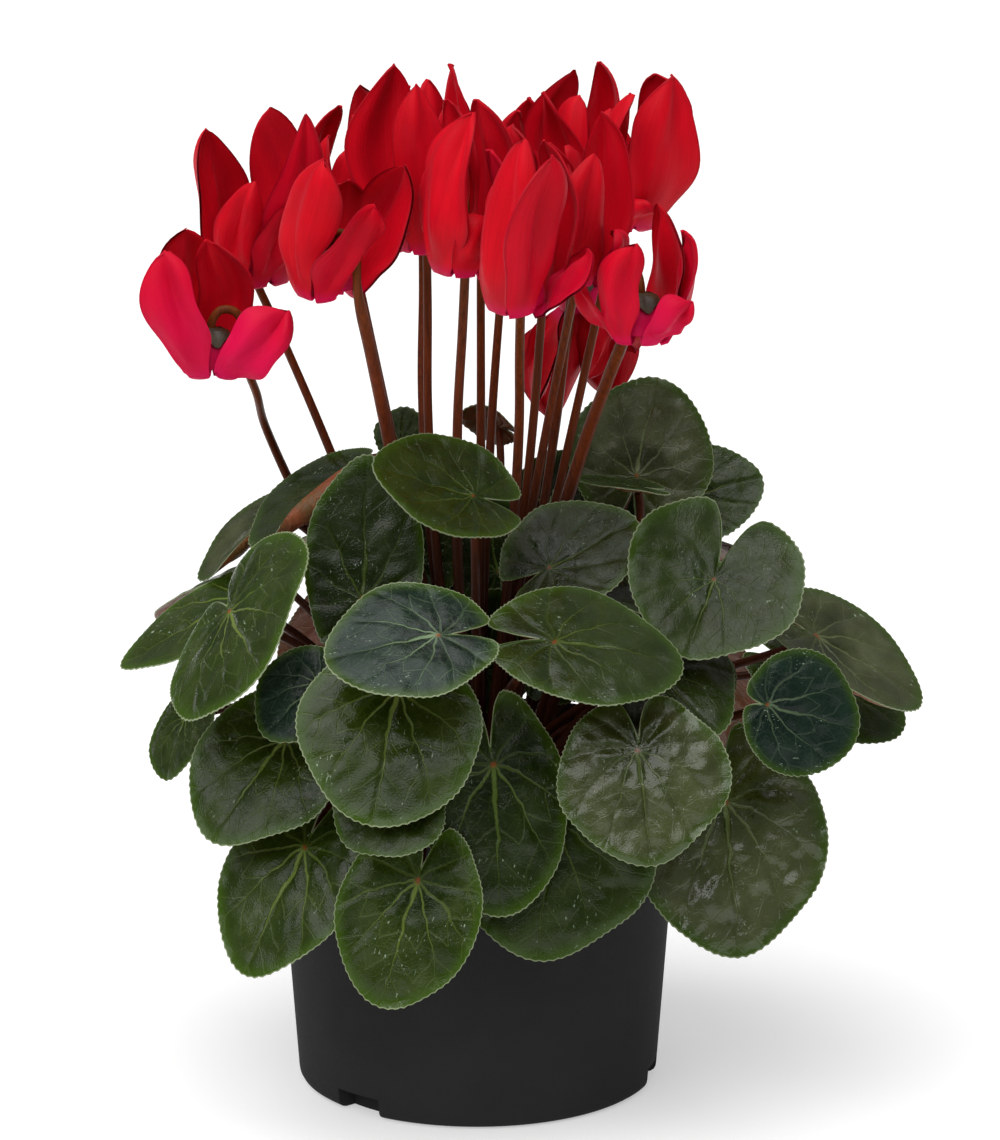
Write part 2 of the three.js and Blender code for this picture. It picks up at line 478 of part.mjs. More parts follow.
let crown = turned(tuberProfile(0), TUBER.sides);
LEAVES.forEach((leaf, i) => { crown = crown.add(buildLeafStalk(leaf, i)); });
for (const flower of FLOWERS) crown = crown.add(buildFlowerStalk(flower));

const part = new THREE.Group();
part.name = 'potted_cyclamen';
part.add(meshOf('pot', buildPot(), 0x29292a, 0.55));
part.add(meshOf('compost', buildCompost(), 0x2a1d14, 0.95));
part.add(meshOf('crown', crown, 0x6a3a22, 0.55));
LEAVES.forEach((leaf, i) => part.add(meshOf(label('leaf', i), buildBlade(leaf, i), 0x35502a, 0.5)));
FLOWERS.forEach((flower, i) => part.add(meshOf(label('flower', i), buildCorolla(flower), 0xc40c24, 0.5)));

export default part;
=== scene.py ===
"""Potted cyclamen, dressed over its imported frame: leaves, flowers, stalks, pot, compost and studio.

Lengths in the tables are millimetres; every mesh is built in metres with its place in the mesh.
"""
from __future__ import annotations

import logging
import math
from dataclasses import dataclass
from enum import Enum
from typing import Callable, Sequence

import bmesh
import bpy
from mathutils import Matrix, Vector, noise


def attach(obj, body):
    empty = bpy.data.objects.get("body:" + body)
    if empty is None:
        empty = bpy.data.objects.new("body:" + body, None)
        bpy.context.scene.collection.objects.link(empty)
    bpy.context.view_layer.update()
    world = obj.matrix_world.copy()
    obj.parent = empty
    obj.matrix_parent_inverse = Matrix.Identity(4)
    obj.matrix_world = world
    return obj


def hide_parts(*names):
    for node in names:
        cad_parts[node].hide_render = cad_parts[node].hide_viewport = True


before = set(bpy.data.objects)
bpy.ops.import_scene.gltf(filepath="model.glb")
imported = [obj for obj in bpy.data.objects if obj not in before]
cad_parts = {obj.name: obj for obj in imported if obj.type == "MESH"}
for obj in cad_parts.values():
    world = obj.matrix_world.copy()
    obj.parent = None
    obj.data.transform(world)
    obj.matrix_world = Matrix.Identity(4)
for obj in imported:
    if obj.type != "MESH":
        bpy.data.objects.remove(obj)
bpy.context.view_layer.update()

LOG = logging.getLogger("cyclamen")
MM = 0.001
CRUMB_SEED, WAVE_SEED, SHADE_SEED, PETAL_SEED = 31, 10, 300, 40
Triple = tuple[float, float, float]
Petal = tuple[float, float, float, float, float]


class Tone(Enum):
    """How a leaf's upper side is coloured."""

    GREEN = "green"
    BLUE = "blue"
    # greyer skin whose lighter colours are partly painted sheen
    GREY_SHEEN = "grey_sheen"
    DARK = "dark"
    GLOSSY = "glossy"


@dataclass(frozen=True)
class LeafPlan:
    """Where a leaf blade stands and how it is shaped, in millimetres."""

    place: Triple
    tip: Triple
    face: Triple
    wide: float
    cup: float
    fold: float
    tone: Tone = Tone.GREEN
    lobes: float = 0.0
    curl: float = 0.0
    bow: Triple = (0, 0, 0)


@dataclass(frozen=True)
class FlowerPlan:
    """Where a flower hangs, how its stalk climbs and where its five petals end, in millimetres."""

    mouth: Triple
    gap: float
    by: Triple
    thick: float
    petals: tuple[Petal, ...]
    blush: tuple[float, ...] = (0, 0, 0, 0, 0)


# Place of the stalk's end, way to the tip, upper side, share of width, cup, fold; then the rest.
LEAVES = (
    LeafPlan((-10, -88, 152), (-30, -5, -4), (0, -0.55, 0.83), 0.92, -3, 2, tone=Tone.BLUE, bow=(4, 0, 14)),
    LeafPlan((-21, -78, 135), (-7, -21, -32), (0, -0.8, 0.55), 0.98, -4, 1, lobes=-0.3),
    LeafPlan((4, -68, 111), (3, -11, -40), (0.15, -0.95, 0.25), 0.68, -2, 1, tone=Tone.DARK),
    LeafPlan((-16, -82, 82), (-10, -9, -32), (-0.1, -0.97, 0.25), 0.8, -2, 2),
    LeafPlan((-47, -60, 85), (-16, -12, -31), (-0.5, -0.82, 0.25), 0.8, -2, 2),
    LeafPlan((-53, -52, 113), (-19, -12, -23), (-0.4, -0.8, 0.4), 0.96, -2, 1),
    LeafPlan((-43, -64, 133), (-14, -5, -13), (-0.2, -0.8, 0.55), 1.0, -1, 1, tone=Tone.BLUE),
    LeafPlan((-67, -50, 149), (9, -34, -7), (-0.76, -0.31, 0.57), 1.15, -2, 2),
    LeafPlan((-66, -17, 144), (-33.2, 4, -19), (-0.4, -0.35, 0.85), 0.54, -2, 2),
    LeafPlan((-57, 6, 164), (-21, -5, -18), (-0.7, -0.3, 0.65), 0.8, -1, 2, tone=Tone.GREY_SHEEN, curl=9,
             lobes=-0.5),
    LeafPlan((-35, -6, 178), (-26, -13, -18), (-0.4, -0.2, 0.9), 1.0, 0, 2, curl=11, lobes=-0.45),
    LeafPlan((-31, -46, 152), (1, 10, 36), (-0.05, -1, 0.3), 0.62, 2, 0, tone=Tone.DARK),
    LeafPlan((-1, -52, 182), (-26, -6, 9), (0, -0.57, 0.82), 0.9, 2, 2),
    LeafPlan((20, -36, 158), (23, 6, 11), (0.1, -0.6, 0.8), 0.95, 1, 2, tone=Tone.DARK),
    LeafPlan((65, -42, 156), (-8, -17, -17), (0.1, -0.72, 0.7), 1.0, 2, 3, lobes=0.9, bow=(9, 13, 0)),
    LeafPlan((21, -78, 148), (34, 5, -7), (0, -0.52, 0.85), 0.86, -3, 1),
    LeafPlan((47, -53, 134), (19, -14, -14), (0.3, -0.6, 0.75), 1.12, -2, 1),
    LeafPlan((44, -80, 118), (3, -12, -28), (0.05, -0.9, 0.42), 1.06, -4, 2, tone=Tone.GLOSSY, bow=(0,
             0, -6)),
    LeafPlan((21, -66, 94), (-5, -9, -36), (0.05, -0.97, 0.25), 1.05, -2, 1),
    LeafPlan((68, -52, 96), (4, -14, -40), (0.3, -0.9, 0.25), 0.92, -2, 1, tone=Tone.GLOSSY, bow=(0, 0,
             -6)),
    LeafPlan((79, -62, 126), (26, 8, -9), (0.1, -0.93, 0.35), 1.0, -2, 1, tone=Tone.BLUE, lobes=-0.55,
             bow=(8, 12, -9)),
    LeafPlan((95, -16, 133), (30.5, 3, -19), (0.35, -0.42, 0.84), 0.8, -1, 2, tone=Tone.GREY_SHEEN, curl=-5),
    LeafPlan((92, 2, 119), (30, 0, -17), (0.3, -0.7, 0.62), 0.7, -2, 1),
    LeafPlan((45, 16, 172), (6, 8, 27), (0.1, -0.95, 0.3), 1.02, 2, 1, tone=Tone.GREY_SHEEN),
    LeafPlan((62, 30, 163), (20, 4, 5), (0.3, -0.75, 0.6), 0.95, -1, 1),
    LeafPlan((45, 0, 172), (-17, -4, 3), (0, 0.05, 1), 0.9, 1, 1),
    LeafPlan((6, 40, 181), (-12, 3, 3), (-0.1, 0.7, 0.7), 1.0, -2, 1),
    LeafPlan((-22, 32, 178), (1, 5, 10), (-0.3, -0.6, 0.7), 1.0, 1, 1),
    LeafPlan((38, -22, 154), (19, -21, -10), (0.2, -0.3, 0.9), 0.75, 1, 2, lobes=-0.4),
    LeafPlan((60, -32, 128), (10, -6, -8), (0.5, -0.7, 0.5), 1.1, -1, 1),
    LeafPlan((-81, -28, 113), (-6, -8, -16), (-0.75, -0.6, 0.3), 0.9, -1, 1),
    LeafPlan((-20, -86, 107), (-16, -7, -11), (-0.1, -0.7, 0.7), 1.1, -2, 2, bow=(-7, 0, 0)),
             # the far side of the mound
    LeafPlan((-64, 40, 141), (-28, 16, -20), (-0.5, 0.3, 0.8), 1.0, -2, 1),
    LeafPlan((-20, 46, 157), (-16, 30, -14), (-0.2, 0.5, 0.84), 1.0, -2, 2),
    LeafPlan((14, 46, 155), (8, 32, -16), (0.05, 0.5, 0.85), 0.9, -3, 1),
    LeafPlan((60, 56, 144), (20, 26, -18), (0.4, 0.5, 0.77), 0.9, -2, 2),
    LeafPlan((76, 30, 140), (30, 14, -19), (0.5, 0.25, 0.83), 0.9, -2, 1),
    LeafPlan((-74, 24, 112), (-16, 8, -30), (-0.85, 0.3, 0.4), 0.9, -2, 1),
    LeafPlan((-34, 68, 122), (-9, 14, -32), (-0.5, 0.8, 0.35), 1.0, -2, 1),
    LeafPlan((20, 76, 122), (4, 12, -34), (0.1, 0.95, 0.3), 1.0, -2, 1),
    LeafPlan((64, 56, 110), (12, 10, -32), (0.65, 0.7, 0.3), 0.95, -2, 1),
)

YOUNG = tuple(
    LeafPlan(place=place, tip=tip, face=face, wide=0.8, cup=3, fold=7, tone=Tone.DARK)
    for place, tip, face in (
        ((-18, 20, 146), (-3, 6, 24), (0, -0.9, 0.4)), ((-6, 34, 138), (5, 4, 26), (0.2, -0.9, 0.4)),
        ((6, 24, 142), (-5, 3, 23), (0, -0.9, 0.4)), ((-26, 34, 128), (-6, 8, 24), (-0.4, -0.8, 0.4)),
        ((19, 32, 150), (5, 6, 24), (0.2, -0.9, 0.4)), ((31, 24, 154), (6, 8, 22), (0.3, -0.9, 0.4)),
        ((-15, 4, 118), (-4, 2, 25), (-0.3, -0.9, 0.3)), ((2, 10, 116), (4, 3, 24), (0.1, -0.9, 0.3)),
        ((0, 46, 126), (0, 7, 26), (0, -0.9, 0.4)), ((22, 8, 120), (6, 2, 24), (0.3, -0.9, 0.3)),
        ((-30, 8, 134), (-8, 2, 22), (-0.5, -0.8, 0.3)), ((38, 12, 132), (8, 2, 22), (0.5, -0.8, 0.3))))

# Mouth, azimuth of the gap that the stalk passes, point it climbs by, thickness; petals; blush.
FLOWERS = (
    FlowerPlan((-73, -22, 212), 5, (-56, 26, 172), 1, ((0, 6, 35, 14, 12), (-7.5, 9, 37, 16, -10),
               (-12, 4, 31, 14, 20), (-13, -6, 33, 13, 25), (22, -6, 16, 14, -55)), (0, 0, 0.1, 0.75, 1)),
    FlowerPlan((-62, 6, 232), 100, (-38, 10, 172), 1, ((-11, 1, 41, 16, -19), (1, -6, 27, 13, 20),
               (8.5, -9, 21, 10, 27), (15, -4, 46, 16, -30), (4, 9, 46, 15, 45)), (0, 0, 0.15, 0.2, 0)),
    FlowerPlan((-40, -34, 236), -35, (-21, -14, 172), 1.45, ((20, -2, 35, 18, 16), (5.5, 10, 28, 15, 24),
               (-5, 8, 23, 13, 24), (-0.5, -7, 37, 18, 14), (12, -11, 25, 13, 43)), (0, 0, 0, 0, 0.15)),
    FlowerPlan((-16, 46, 241), 90, (-15, 10, 172), 1, ((-6, 5, 37.5, 12, 24), (-3.5, -5, 36.5, 12, 24),
               (3, -7, 41, 11, 24), (9.5, -4, 45, 10, 58), (10, 7, 36, 10, 50))),
    FlowerPlan((-37, 29, 238), 90, (-21, 2, 172), 1, ((-1, 2, 37, 15, 13), (-4.5, -5.5, 30.5, 10, 24),
               (2, -8, 27, 13, 24), (4, -6, 37, 15, 40), (5, 8, 43, 14, 29))),
    FlowerPlan((-14, -12, 245), 90, (-13, -8, 172), 1, ((-9, 5.5, 48.4, 18, -30), (-12, -7, 8, 12, 15),
               (-3, -9, 45, 15, 16), (6.5, -5, 32, 13, 24), (5.5, 7, 38, 12, 24)), (0, 0.35, 0, 0, 0)),
    FlowerPlan((-3, -38, 243.5), 90, (-6, -12, 172), 1.1, ((-8, 5, 30.5, 12, 24),
               (1.5, -6.5, 42.5, 17, 12), (8, -8, 14, 12, 15), (7, -3, 32, 14, 50), (4, 8, 44, 13, 20)),
               (0, 0, 0, 0.45, 0)),
    FlowerPlan((12, -64, 238), 90, (11, -10, 172), 1.1, ((-5.5, 6, 31, 13, 24), (2.5, -7.5, 44.5, 18, 8),
               (6, -9.5, 41.5, 16, 46), (15, -4.5, 16, 13, 56), (8.5, 6, 43, 13, 1)), (0, 0, 0.1, 0.35, 0)),
    FlowerPlan((28, -39, 241), 90, (16, -6, 172), 1, ((-6, 7, 22, 12, 24), (-5, -5, 27.5, 14, 24),
               (2.5, -7, 34, 15, 32), (9, -8, 13, 12, 20), (4, 5, 43, 14, 29)), (0, 0, 0, 0.35, 0)),
    FlowerPlan((8, 34, 239), 90, (3, 12, 172), 1, ((-7, 4, 36, 12, 0), (-3, -7, 30, 12, 24),
               (2.5, -7, 32, 12, 24), (6.5, -4, 30.5, 12, 24), (6, 5, 38, 14, 24))),
    FlowerPlan((20, -13, 248), 90, (14, -3, 172), 1, ((-7.5, 4.5, 32.5, 15, -11),
               (-9.5, -3.5, 30, 12, 40), (0.5, -6, 25, 12, 24), (3, -5, 23.5, 10, 24),
               (-1, 4, 39, 13, 15))),
    FlowerPlan((31, 28, 243), 100, (20, 8, 172), 1, ((-5, 3, 43, 16, -18), (-2.5, -5, 37, 12, 24),
               (7, -6, 33, 13, 24), (6.5, -3.5, 29.5, 15, 48), (2.5, 5, 44.5, 14, 14))),
    FlowerPlan((40, -1, 249), 90, (23, 1, 172), 1, ((5, 7, 32.5, 12, 24), (-4, -7, 22, 12, 20),
               (0, -9, 8.5, 13, 10), (13, -4, 41, 18, -35), (10, 5.5, 40, 18, 21)), (0, 0, 0.1, 0, 0)),
    FlowerPlan((44, -64, 230), 110, (25, -10, 172), 1.45, ((-15, 2, 12, 13, 19),
               (-2.5, -7.5, 25.5, 10, 24), (13, -8.5, 9, 10, 0), (9, -1, 27, 14, 25),
               (2.5, 4.5, 32.5, 18, -21)), (0.2, 0.25, 0.9, 0.3, 0)),
    FlowerPlan((30, 58, 212), -110, (20, 10, 172), 1, ((2, -6, -18, 12, 10), (16, 0, -12.5, 15, 10),
               (9, 8, -27, 15, 10), (-9.5, 7, -34, 17, -20), (-15.5, -3, -27.5, 15, 20))),
    FlowerPlan((1, 8, 242), 90, (1, 2, 172), 1, ((-7, 6, 36, 13, 24), (-2, -6, 33, 12, 24),
               (4, -7, 34.5, 12, 24), (7.5, -4, 30, 12, 24), (3, 5, 32.5, 13, 24))),
)


# ---- small tools ---------------------------------------------------------------------------
def seeded(seed: int) -> Callable[[], float]:
    """A repeatable random number between -1 and 1.

    Args:
        seed: whole number that fixes the row of draws.

    Returns:
        A function that gives the next draw.
    """
    state = [seed * 2654435761 % 4294967296]

    def draw() -> float:
        """The next draw."""
        state[0] = (1664525 * state[0] + 1013904223) % 4294967296
        return state[0] / 2147483648 - 1
    return draw


def smooth(low: float, high: float, value: float) -> float:
    """A soft step from 0 at low to 1 at high."""
    t = min(1.0, max(0.0, (value - low) / (high - low)))
    return t * t * (3 - 2 * t)


def bezier(points: Sequence[Vector], t: float) -> Vector:
    """The point at t, from 0 to 1, of a cubic Bezier."""
    a, b, c, d = points
    s = 1 - t
    return a * s ** 3 + b * (3 * s * s * t) + c * (3 * s * t * t) + d * t ** 3


def through(points: Sequence[Vector], count: int) -> list[Vector]:
    """Steps along a smooth centripetal curve through points.

    Args:
        points: what the curve passes.
        count: steps along the whole curve.

    Returns:
        count + 1 points.
    """
    last = len(points) - 1
    knots = [points[0] * 2 - points[1], *points, points[last] * 2 - points[last - 1]]
    out = []
    for step in range(count + 1):
        at = last * step / count
        i = min(int(at), last - 1)
        w = at - i
        p0, p1, p2, p3 = knots[i:i + 4]
        d0, d1, d2 = (max((b - a).length ** 0.5, 1e-6) for a, b in ((p0, p1), (p1, p2), (p2, p3)))
        m1 = ((p1 - p0) / d0 - (p2 - p0) / (d0 + d1) + (p2 - p1) / d1) * d1
        m2 = ((p2 - p1) / d1 - (p3 - p1) / (d1 + d2) + (p3 - p2) / d2) * d1
        out.append(p1 + m1 * w + (p1 * -3 + p2 * 3 - m1 * 2 - m2) * w ** 2
                   + (p1 * 2 - p2 * 2 + m1 + m2) * w ** 3)
    return out


def thicken(bm: bmesh.types.BMesh, depth: Callable[[bmesh.types.BMVert], float], under: int) -> None:
    """Turns an open sheet into a thin closed body, with its own faces on top.

    Args:
        bm: the sheet.
        depth: thickness at a vertex, in metres.
        under: material index of the lower side.
    """
    bm.normal_update()
    rim = [e for e in bm.edges if e.is_boundary]
    copy = bmesh.ops.duplicate(bm, geom=bm.verts[:] + bm.edges[:] + bm.faces[:])["geom"]
    for vert in (g for g in copy if isinstance(g, bmesh.types.BMVert)):
        vert.co -= vert.normal * depth(vert)
    faces = [g for g in copy if isinstance(g, bmesh.types.BMFace)]
    for face in faces:
        face.material_index = under
    low_rim = [g for g in copy if isinstance(g, bmesh.types.BMEdge) and g.is_boundary]
    for face in bmesh.ops.bridge_loops(bm, edges=rim + low_rim)["faces"]:
        face.material_index = 0
    bmesh.ops.reverse_faces(bm, faces=faces)


def unfold(bm: bmesh.types.BMesh, layer: bmesh.types.BMLayerItem,
           flat: dict[bmesh.types.BMVert, tuple[float, float]]) -> None:
    """Writes each vertex's flat place into a UV layer."""
    for face in bm.faces:
        for loop in face.loops:
            loop[layer].uv = flat[loop.vert]


def placed(name: str, data: bpy.types.ID) -> bpy.types.Object:
    """A new object in the scene, at the origin."""
    made = bpy.data.objects.new(name, data)
    bpy.context.scene.collection.objects.link(made)
    return made


def mesh_of(bm: bmesh.types.BMesh, name: str) -> bpy.types.Mesh:
    """A mesh from bm, which is freed."""
    mesh = bpy.data.meshes.new(name)
    bm.to_mesh(mesh)
    bm.free()
    return mesh


def piece_from(bm: bmesh.types.BMesh, name: str, finishes: Sequence[bpy.types.Material],
               nodes: Sequence[str], crease: float = 50) -> bpy.types.Object:
    """A finished piece of the part from a bmesh.

    Args:
        bm: the shape, in the part's frame, in metres. It is freed.
        name: the piece's name.
        finishes: its materials, by index.
        nodes: CAD nodes that it stands for.
        crease: edges sharper than this, in degrees, stay sharp.

    Returns:
        The new object, riding on the root body.
    """
    for face in bm.faces:
        face.smooth = True
    mesh = mesh_of(bm, name)
    mesh.set_sharp_from_angle(angle=math.radians(crease))
    for finish in finishes:
        mesh.materials.append(finish)
    piece = placed(name, mesh)
    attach(piece, "root")
    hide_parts(*nodes)
    LOG.info("%s: %d faces", name, len(mesh.polygons))
    return piece


def baked(piece: bpy.types.Object) -> None:
    """Applies a piece's modifiers to its mesh."""
    seen = piece.evaluated_get(bpy.context.evaluated_depsgraph_get())
    mesh = bpy.data.meshes.new_from_object(seen)
    piece.modifiers.clear()
    old, piece.data = piece.data, mesh
    mesh.name = old.name
    bpy.data.meshes.remove(old)


# ---- finishes ------------------------------------------------------------------------------
class Graph:
    """One material and a short way to wire its nodes."""

    def __init__(self, name: str, roughness: float = 0.5, specular: float = 0.5) -> None:
        """Starts a material.

        Args:
            name: the material's name.
            roughness: of the shader.
            specular: specular level of the shader.
        """
        self.material = bpy.data.materials.new(name)
        self.material.use_nodes = True
        self.tree = self.material.node_tree
        self.shader = self.tree.nodes["Principled BSDF"]
        self.shader.inputs["Roughness"].default_value = roughness
        self.shader.inputs["Specular IOR Level"].default_value = specular

    def node(self, kind: str, feeds: dict[object, object] | None = None,
             **settings: object) -> bpy.types.Node:
        """Adds a node.

        Args:
            kind: node type without the ShaderNode prefix.
            feeds: values or sockets for inputs, by name or index.
            settings: attributes of the node.

        Returns:
            The node.
        """
        made = self.tree.nodes.new("ShaderNode" + kind)
        for key, value in settings.items():
            setattr(made, key, value)
        for key, value in (feeds or {}).items():
            self.feed(made.inputs[key], value)
        return made

    def feed(self, socket: bpy.types.NodeSocket, value: object) -> None:
        """Links a socket to an input, or sets the input to a number, vector or colour."""
        if isinstance(value, bpy.types.NodeSocket):
            self.tree.links.new(value, socket)
        elif isinstance(value, tuple) and len(value) == 3 and socket.type == "RGBA":
            socket.default_value = (*value, 1)
        else:
            socket.default_value = value

    def math(self, operation: str, *values: object) -> bpy.types.NodeSocket:
        """The result of a Math node on numbers or sockets."""
        return self.node("Math", dict(enumerate(values)), operation=operation).outputs[0]

    def times(self, *values: object) -> bpy.types.NodeSocket:
        """The product of two or more numbers or sockets."""
        product, *others = values
        for other in others:
            product = self.math("MULTIPLY", product, other)
        return product

    def vector(self, operation: str, first: object, second: object) -> bpy.types.NodeSocket:
        """The result of a Vector Math node on two places."""
        return self.node("VectorMath", {0: first, 1: second}, operation=operation).outputs[0]

    def stretch(self, where: object, scale: Triple) -> bpy.types.NodeSocket:
        """A place multiplied axis by axis."""
        return self.vector("MULTIPLY", where, scale)

    def lifted(self, where: object, share: object, height: float) -> bpy.types.NodeSocket:
        """A flat place moved up by share of height, so that each piece reads its own noise."""
        lift = self.node("CombineXYZ", {2: self.times(share, height)}).outputs[0]
        return self.vector("ADD", where, lift)

    def band(self, value: object, low: object, high: object, start: float = 0.0,
             end: float = 1.0) -> bpy.types.NodeSocket:
        """A soft step of value from start at low to end at high."""
        return self.node("MapRange", {"Value": value, "From Min": low, "From Max": high, "To Min": start,
                                      "To Max": end}, interpolation_type="SMOOTHSTEP").outputs[0]

    def mix(self, share: object, first: object, second: object, blend: str = "MIX") -> bpy.types.NodeSocket:
        """A colour between first and second."""
        made = self.node("Mix", {0: share, 6: first, 7: second}, data_type="RGBA", blend_type=blend)
        return made.outputs[2]

    def noise(self, where: object, scale: float, detail: float = 2.0,
              rough: float = 0.5) -> bpy.types.NodeSocket:
        """Noise from 0 to 1 at a place."""
        return self.node("TexNoise", {"Vector": where, "Scale": scale, "Detail": detail,
                                      "Roughness": rough}).outputs[0]

    def cells(self, where: object, scale: float) -> bpy.types.NodeSocket:
        """Distance to the nearest border of a net of cells."""
        return self.node("TexVoronoi", {"Vector": where, "Scale": scale},
                         feature="DISTANCE_TO_EDGE").outputs[0]

    def attribute(self, name: str) -> bpy.types.NodeSocket:
        """A number kept on the piece's vertices."""
        return self.node("Attribute", attribute_name=name).outputs["Fac"]

    def place(self) -> bpy.types.NodeSocket:
        """Object coordinates, in metres."""
        return self.node("TexCoord").outputs["Object"]

    def sheet(self, name: str) -> bpy.types.NodeSocket:
        """Coordinates kept in a UV map."""
        return self.node("UVMap", uv_map=name).outputs[0]

    def leaf_plane(self) -> bpy.types.NodeSocket:
        """Place on a leaf: the stalk's end at 0, the tip at 1 along X."""
        return self.stretch(self.vector("SUBTRACT", self.sheet("leaf"), (0.5, 0.5, 0)), (2.5, 2.5, 0))

    def relief(self, height: bpy.types.NodeSocket, depth: float, strength: float = 1.0) -> None:
        """Bump of depth metres for height 0 to 1."""
        bump = self.node("Bump", {"Height": height, "Distance": depth, "Strength": strength})
        self.tree.links.new(bump.outputs[0], self.shader.inputs["Normal"])

    def colour(self, value: object) -> None:
        """The base colour."""
        self.feed(self.shader.inputs["Base Color"], value)

    def roughness(self, value: object) -> None:
        """The roughness."""
        self.feed(self.shader.inputs["Roughness"], value)


def srgb(red: float, green: float, blue: float) -> Triple:
    """Linear colour from sRGB numbers up to 255."""
    return tuple((c / 255 / 12.92) if c <= 10 else ((c / 255 + 0.055) / 1.055) ** 2.4
                 for c in (red, green, blue))


@dataclass(frozen=True)
class VeinRule:
    """How veins leave the stalk's place: spacing, bend and widths, for unit leaf length."""

    spacing: float = math.radians(36)
    bend: float = 0.5
    width: float = 0.0125


VEINS = VeinRule()


@dataclass(frozen=True)
class LeafFinish:
    """Skin of a leaf's upper side in one tone."""

    tone: Tone
    deep: Triple
    light: Triple
    # silver of the belt: partly the leaf's own silver pattern, partly painted sheen
    silver_and_sheen: Triple
    silver_and_sheen_share: float
    vein: Triple
    roughness: float
    specular: float
    # brighter green painted near the margin, standing for light shining through the thin edge
    painted_edge_light: Triple = srgb(58, 84, 16)
    fleck: Triple = srgb(150, 168, 145)
    stalk_spot: Triple = srgb(122, 60, 26)
    rim: Triple = srgb(142, 152, 118)

    def material(self) -> bpy.types.Material:
        """Deep green skin with sunk pale veins, a silver belt that is partly painted sheen, flecks, painted
        light brightening the green towards the margin, and a pale toothed rim.
        """
        g = Graph("leaf_top_" + self.tone.value, self.roughness, self.specular)
        flat = g.leaf_plane()
        shade, edge = g.attribute("shade"), g.attribute("edge")
        own = g.lifted(flat, shade, 7.0)
        patchy = g.band(g.noise(own, 3.5, 1.0), 0.25, 0.75, 0.35, 1.0)
        r, veins = self.veins(g, flat, own, patchy)
        fade = g.times(g.band(r, 0.0, 0.95, 1.0, 0.3), g.band(shade, -1.0, 1.0, 0.5, 1.0))
        base = g.mix(g.band(g.noise(own, 3.0, 2.0, 0.5), 0.2, 0.85), self.deep, self.light)
        base = g.mix(g.times(g.band(g.noise(own, 30.0, 3.0, 0.7), 0.45, 0.8), 0.2), base, self.light)
        # Painted light: the green brightens towards the margin, as if lit through the thin edge.
        base = g.mix(g.times(g.band(edge, 0.72, 0.97), 0.6), base, self.painted_edge_light)
        # Silver belt round the middle of the blade: partly the leaf's own silver pattern, partly painted
        # sheen.
        silver_and_sheen_belt = g.times(g.band(r, 0.22, 0.45), g.band(edge, 0.72, 0.95, 1.0, 0.0), patchy, self.silver_and_sheen_share)
        base = g.mix(silver_and_sheen_belt, base, self.silver_and_sheen)
        base = g.mix(g.times(veins, fade, 0.8), base, self.vein)
        flecks = g.band(g.noise(g.stretch(own, (20.0, 46.0, 1.0)), 1.0, 2.0, 0.6), 0.65, 0.73)
        patches = g.times(g.band(g.noise(own, 2.4, 1.0), 0.48, 0.66), 0.7)
        base = g.mix(g.times(flecks, patches), base, self.fleck)
        base = g.mix(g.band(r, 0.006, 0.032, 0.8, 0.0), base, self.stalk_spot)
        base = g.mix(g.times(g.band(edge, 0.96, 0.998), 0.75), base, self.rim)
        dim = g.math("ADD", g.times(shade, 0.16), 0.97)
        base = g.mix(1.0, base, g.node("CombineColor", {0: dim, 1: dim, 2: dim}).outputs[0], "MULTIPLY")
        g.colour(base)
        pebble = g.band(g.cells(own, 46.0), 0.0, 0.35)
        height = g.math("SUBTRACT", g.times(pebble, 0.1), g.times(veins, 0.75))
        height = g.math("ADD", height, g.times(g.noise(own, 8.0, 2.0, 0.5), 0.8))
        g.relief(height, 0.0004, 0.65)
        g.roughness(g.band(g.noise(own, 6.0, 3.0), 0.3, 0.7, self.roughness - 0.09,
                           self.roughness + 0.13))
        return g.material

    @staticmethod
    def veins(g: Graph, flat: bpy.types.NodeSocket, own: bpy.types.NodeSocket,
              patchy: bpy.types.NodeSocket) -> tuple[bpy.types.NodeSocket, bpy.types.NodeSocket]:
        """Veins that fan out from the stalk's end, their branches and the fine net.

        Args:
            g: the material's nodes.
            flat: place on the leaf.
            own: the same, moved for this piece.
            patchy: how strong the net is from place to place.

        Returns:
            Distance from the stalk's end, and how much of a vein there is, from 0 to 1.
        """
        sway = g.node("TexNoise", {"Vector": own, "Scale": 3.5, "Detail": 3.0}).outputs[1]
        sway = g.vector("SUBTRACT", sway, (0.5, 0.5, 0.5))
        bent = g.vector("ADD", flat, g.stretch(sway, (0.13, 0.13, 0)))
        x, y, _ = g.node("SeparateXYZ", {0: bent}).outputs
        r = g.math("SQRT", g.math("ADD", g.times(x, x), g.times(y, y)))
        turn = g.math("ABSOLUTE", g.math("ARCTAN2", y, x))
        origin = g.math("ADD", turn, g.times(r, VEINS.bend, g.math("SINE", turn)))
        count = g.math("DIVIDE", origin, VEINS.spacing)
        number = g.math("ROUND", count)
        off = g.math("ABSOLUTE", g.math("SUBTRACT", count, number))
        lateral = g.times(off, g.times(r, VEINS.spacing))
        midrib = g.band(number, 0.0, 1.0, 1.7, 1.0)
        width = g.times(g.band(r, 0.0, 0.95, 1.25, 0.3), VEINS.width, midrib)
        main = g.band(g.math("DIVIDE", lateral, width), 0.35, 1.0, 1.0, 0.0)
        slant = g.math("SUBTRACT", g.times(r, 5.2), g.times(lateral, 4.6))
        slant = g.math("ABSOLUTE", g.math("SUBTRACT", slant, g.math("ROUND", slant)))
        branch = g.times(g.band(slant, 0.02, 0.065, 1.0, 0.0), g.band(r, 0.2, 0.42), 0.3)
        net = g.times(g.band(g.cells(bent, 15.0), 0.0, 0.09, 1.0, 0.0), patchy, 0.15)
        main = g.times(main, g.band(number, 0.0, 3.5, 1.0, 0.25))
        return r, g.math("MAXIMUM", g.math("MAXIMUM", main, branch), net)


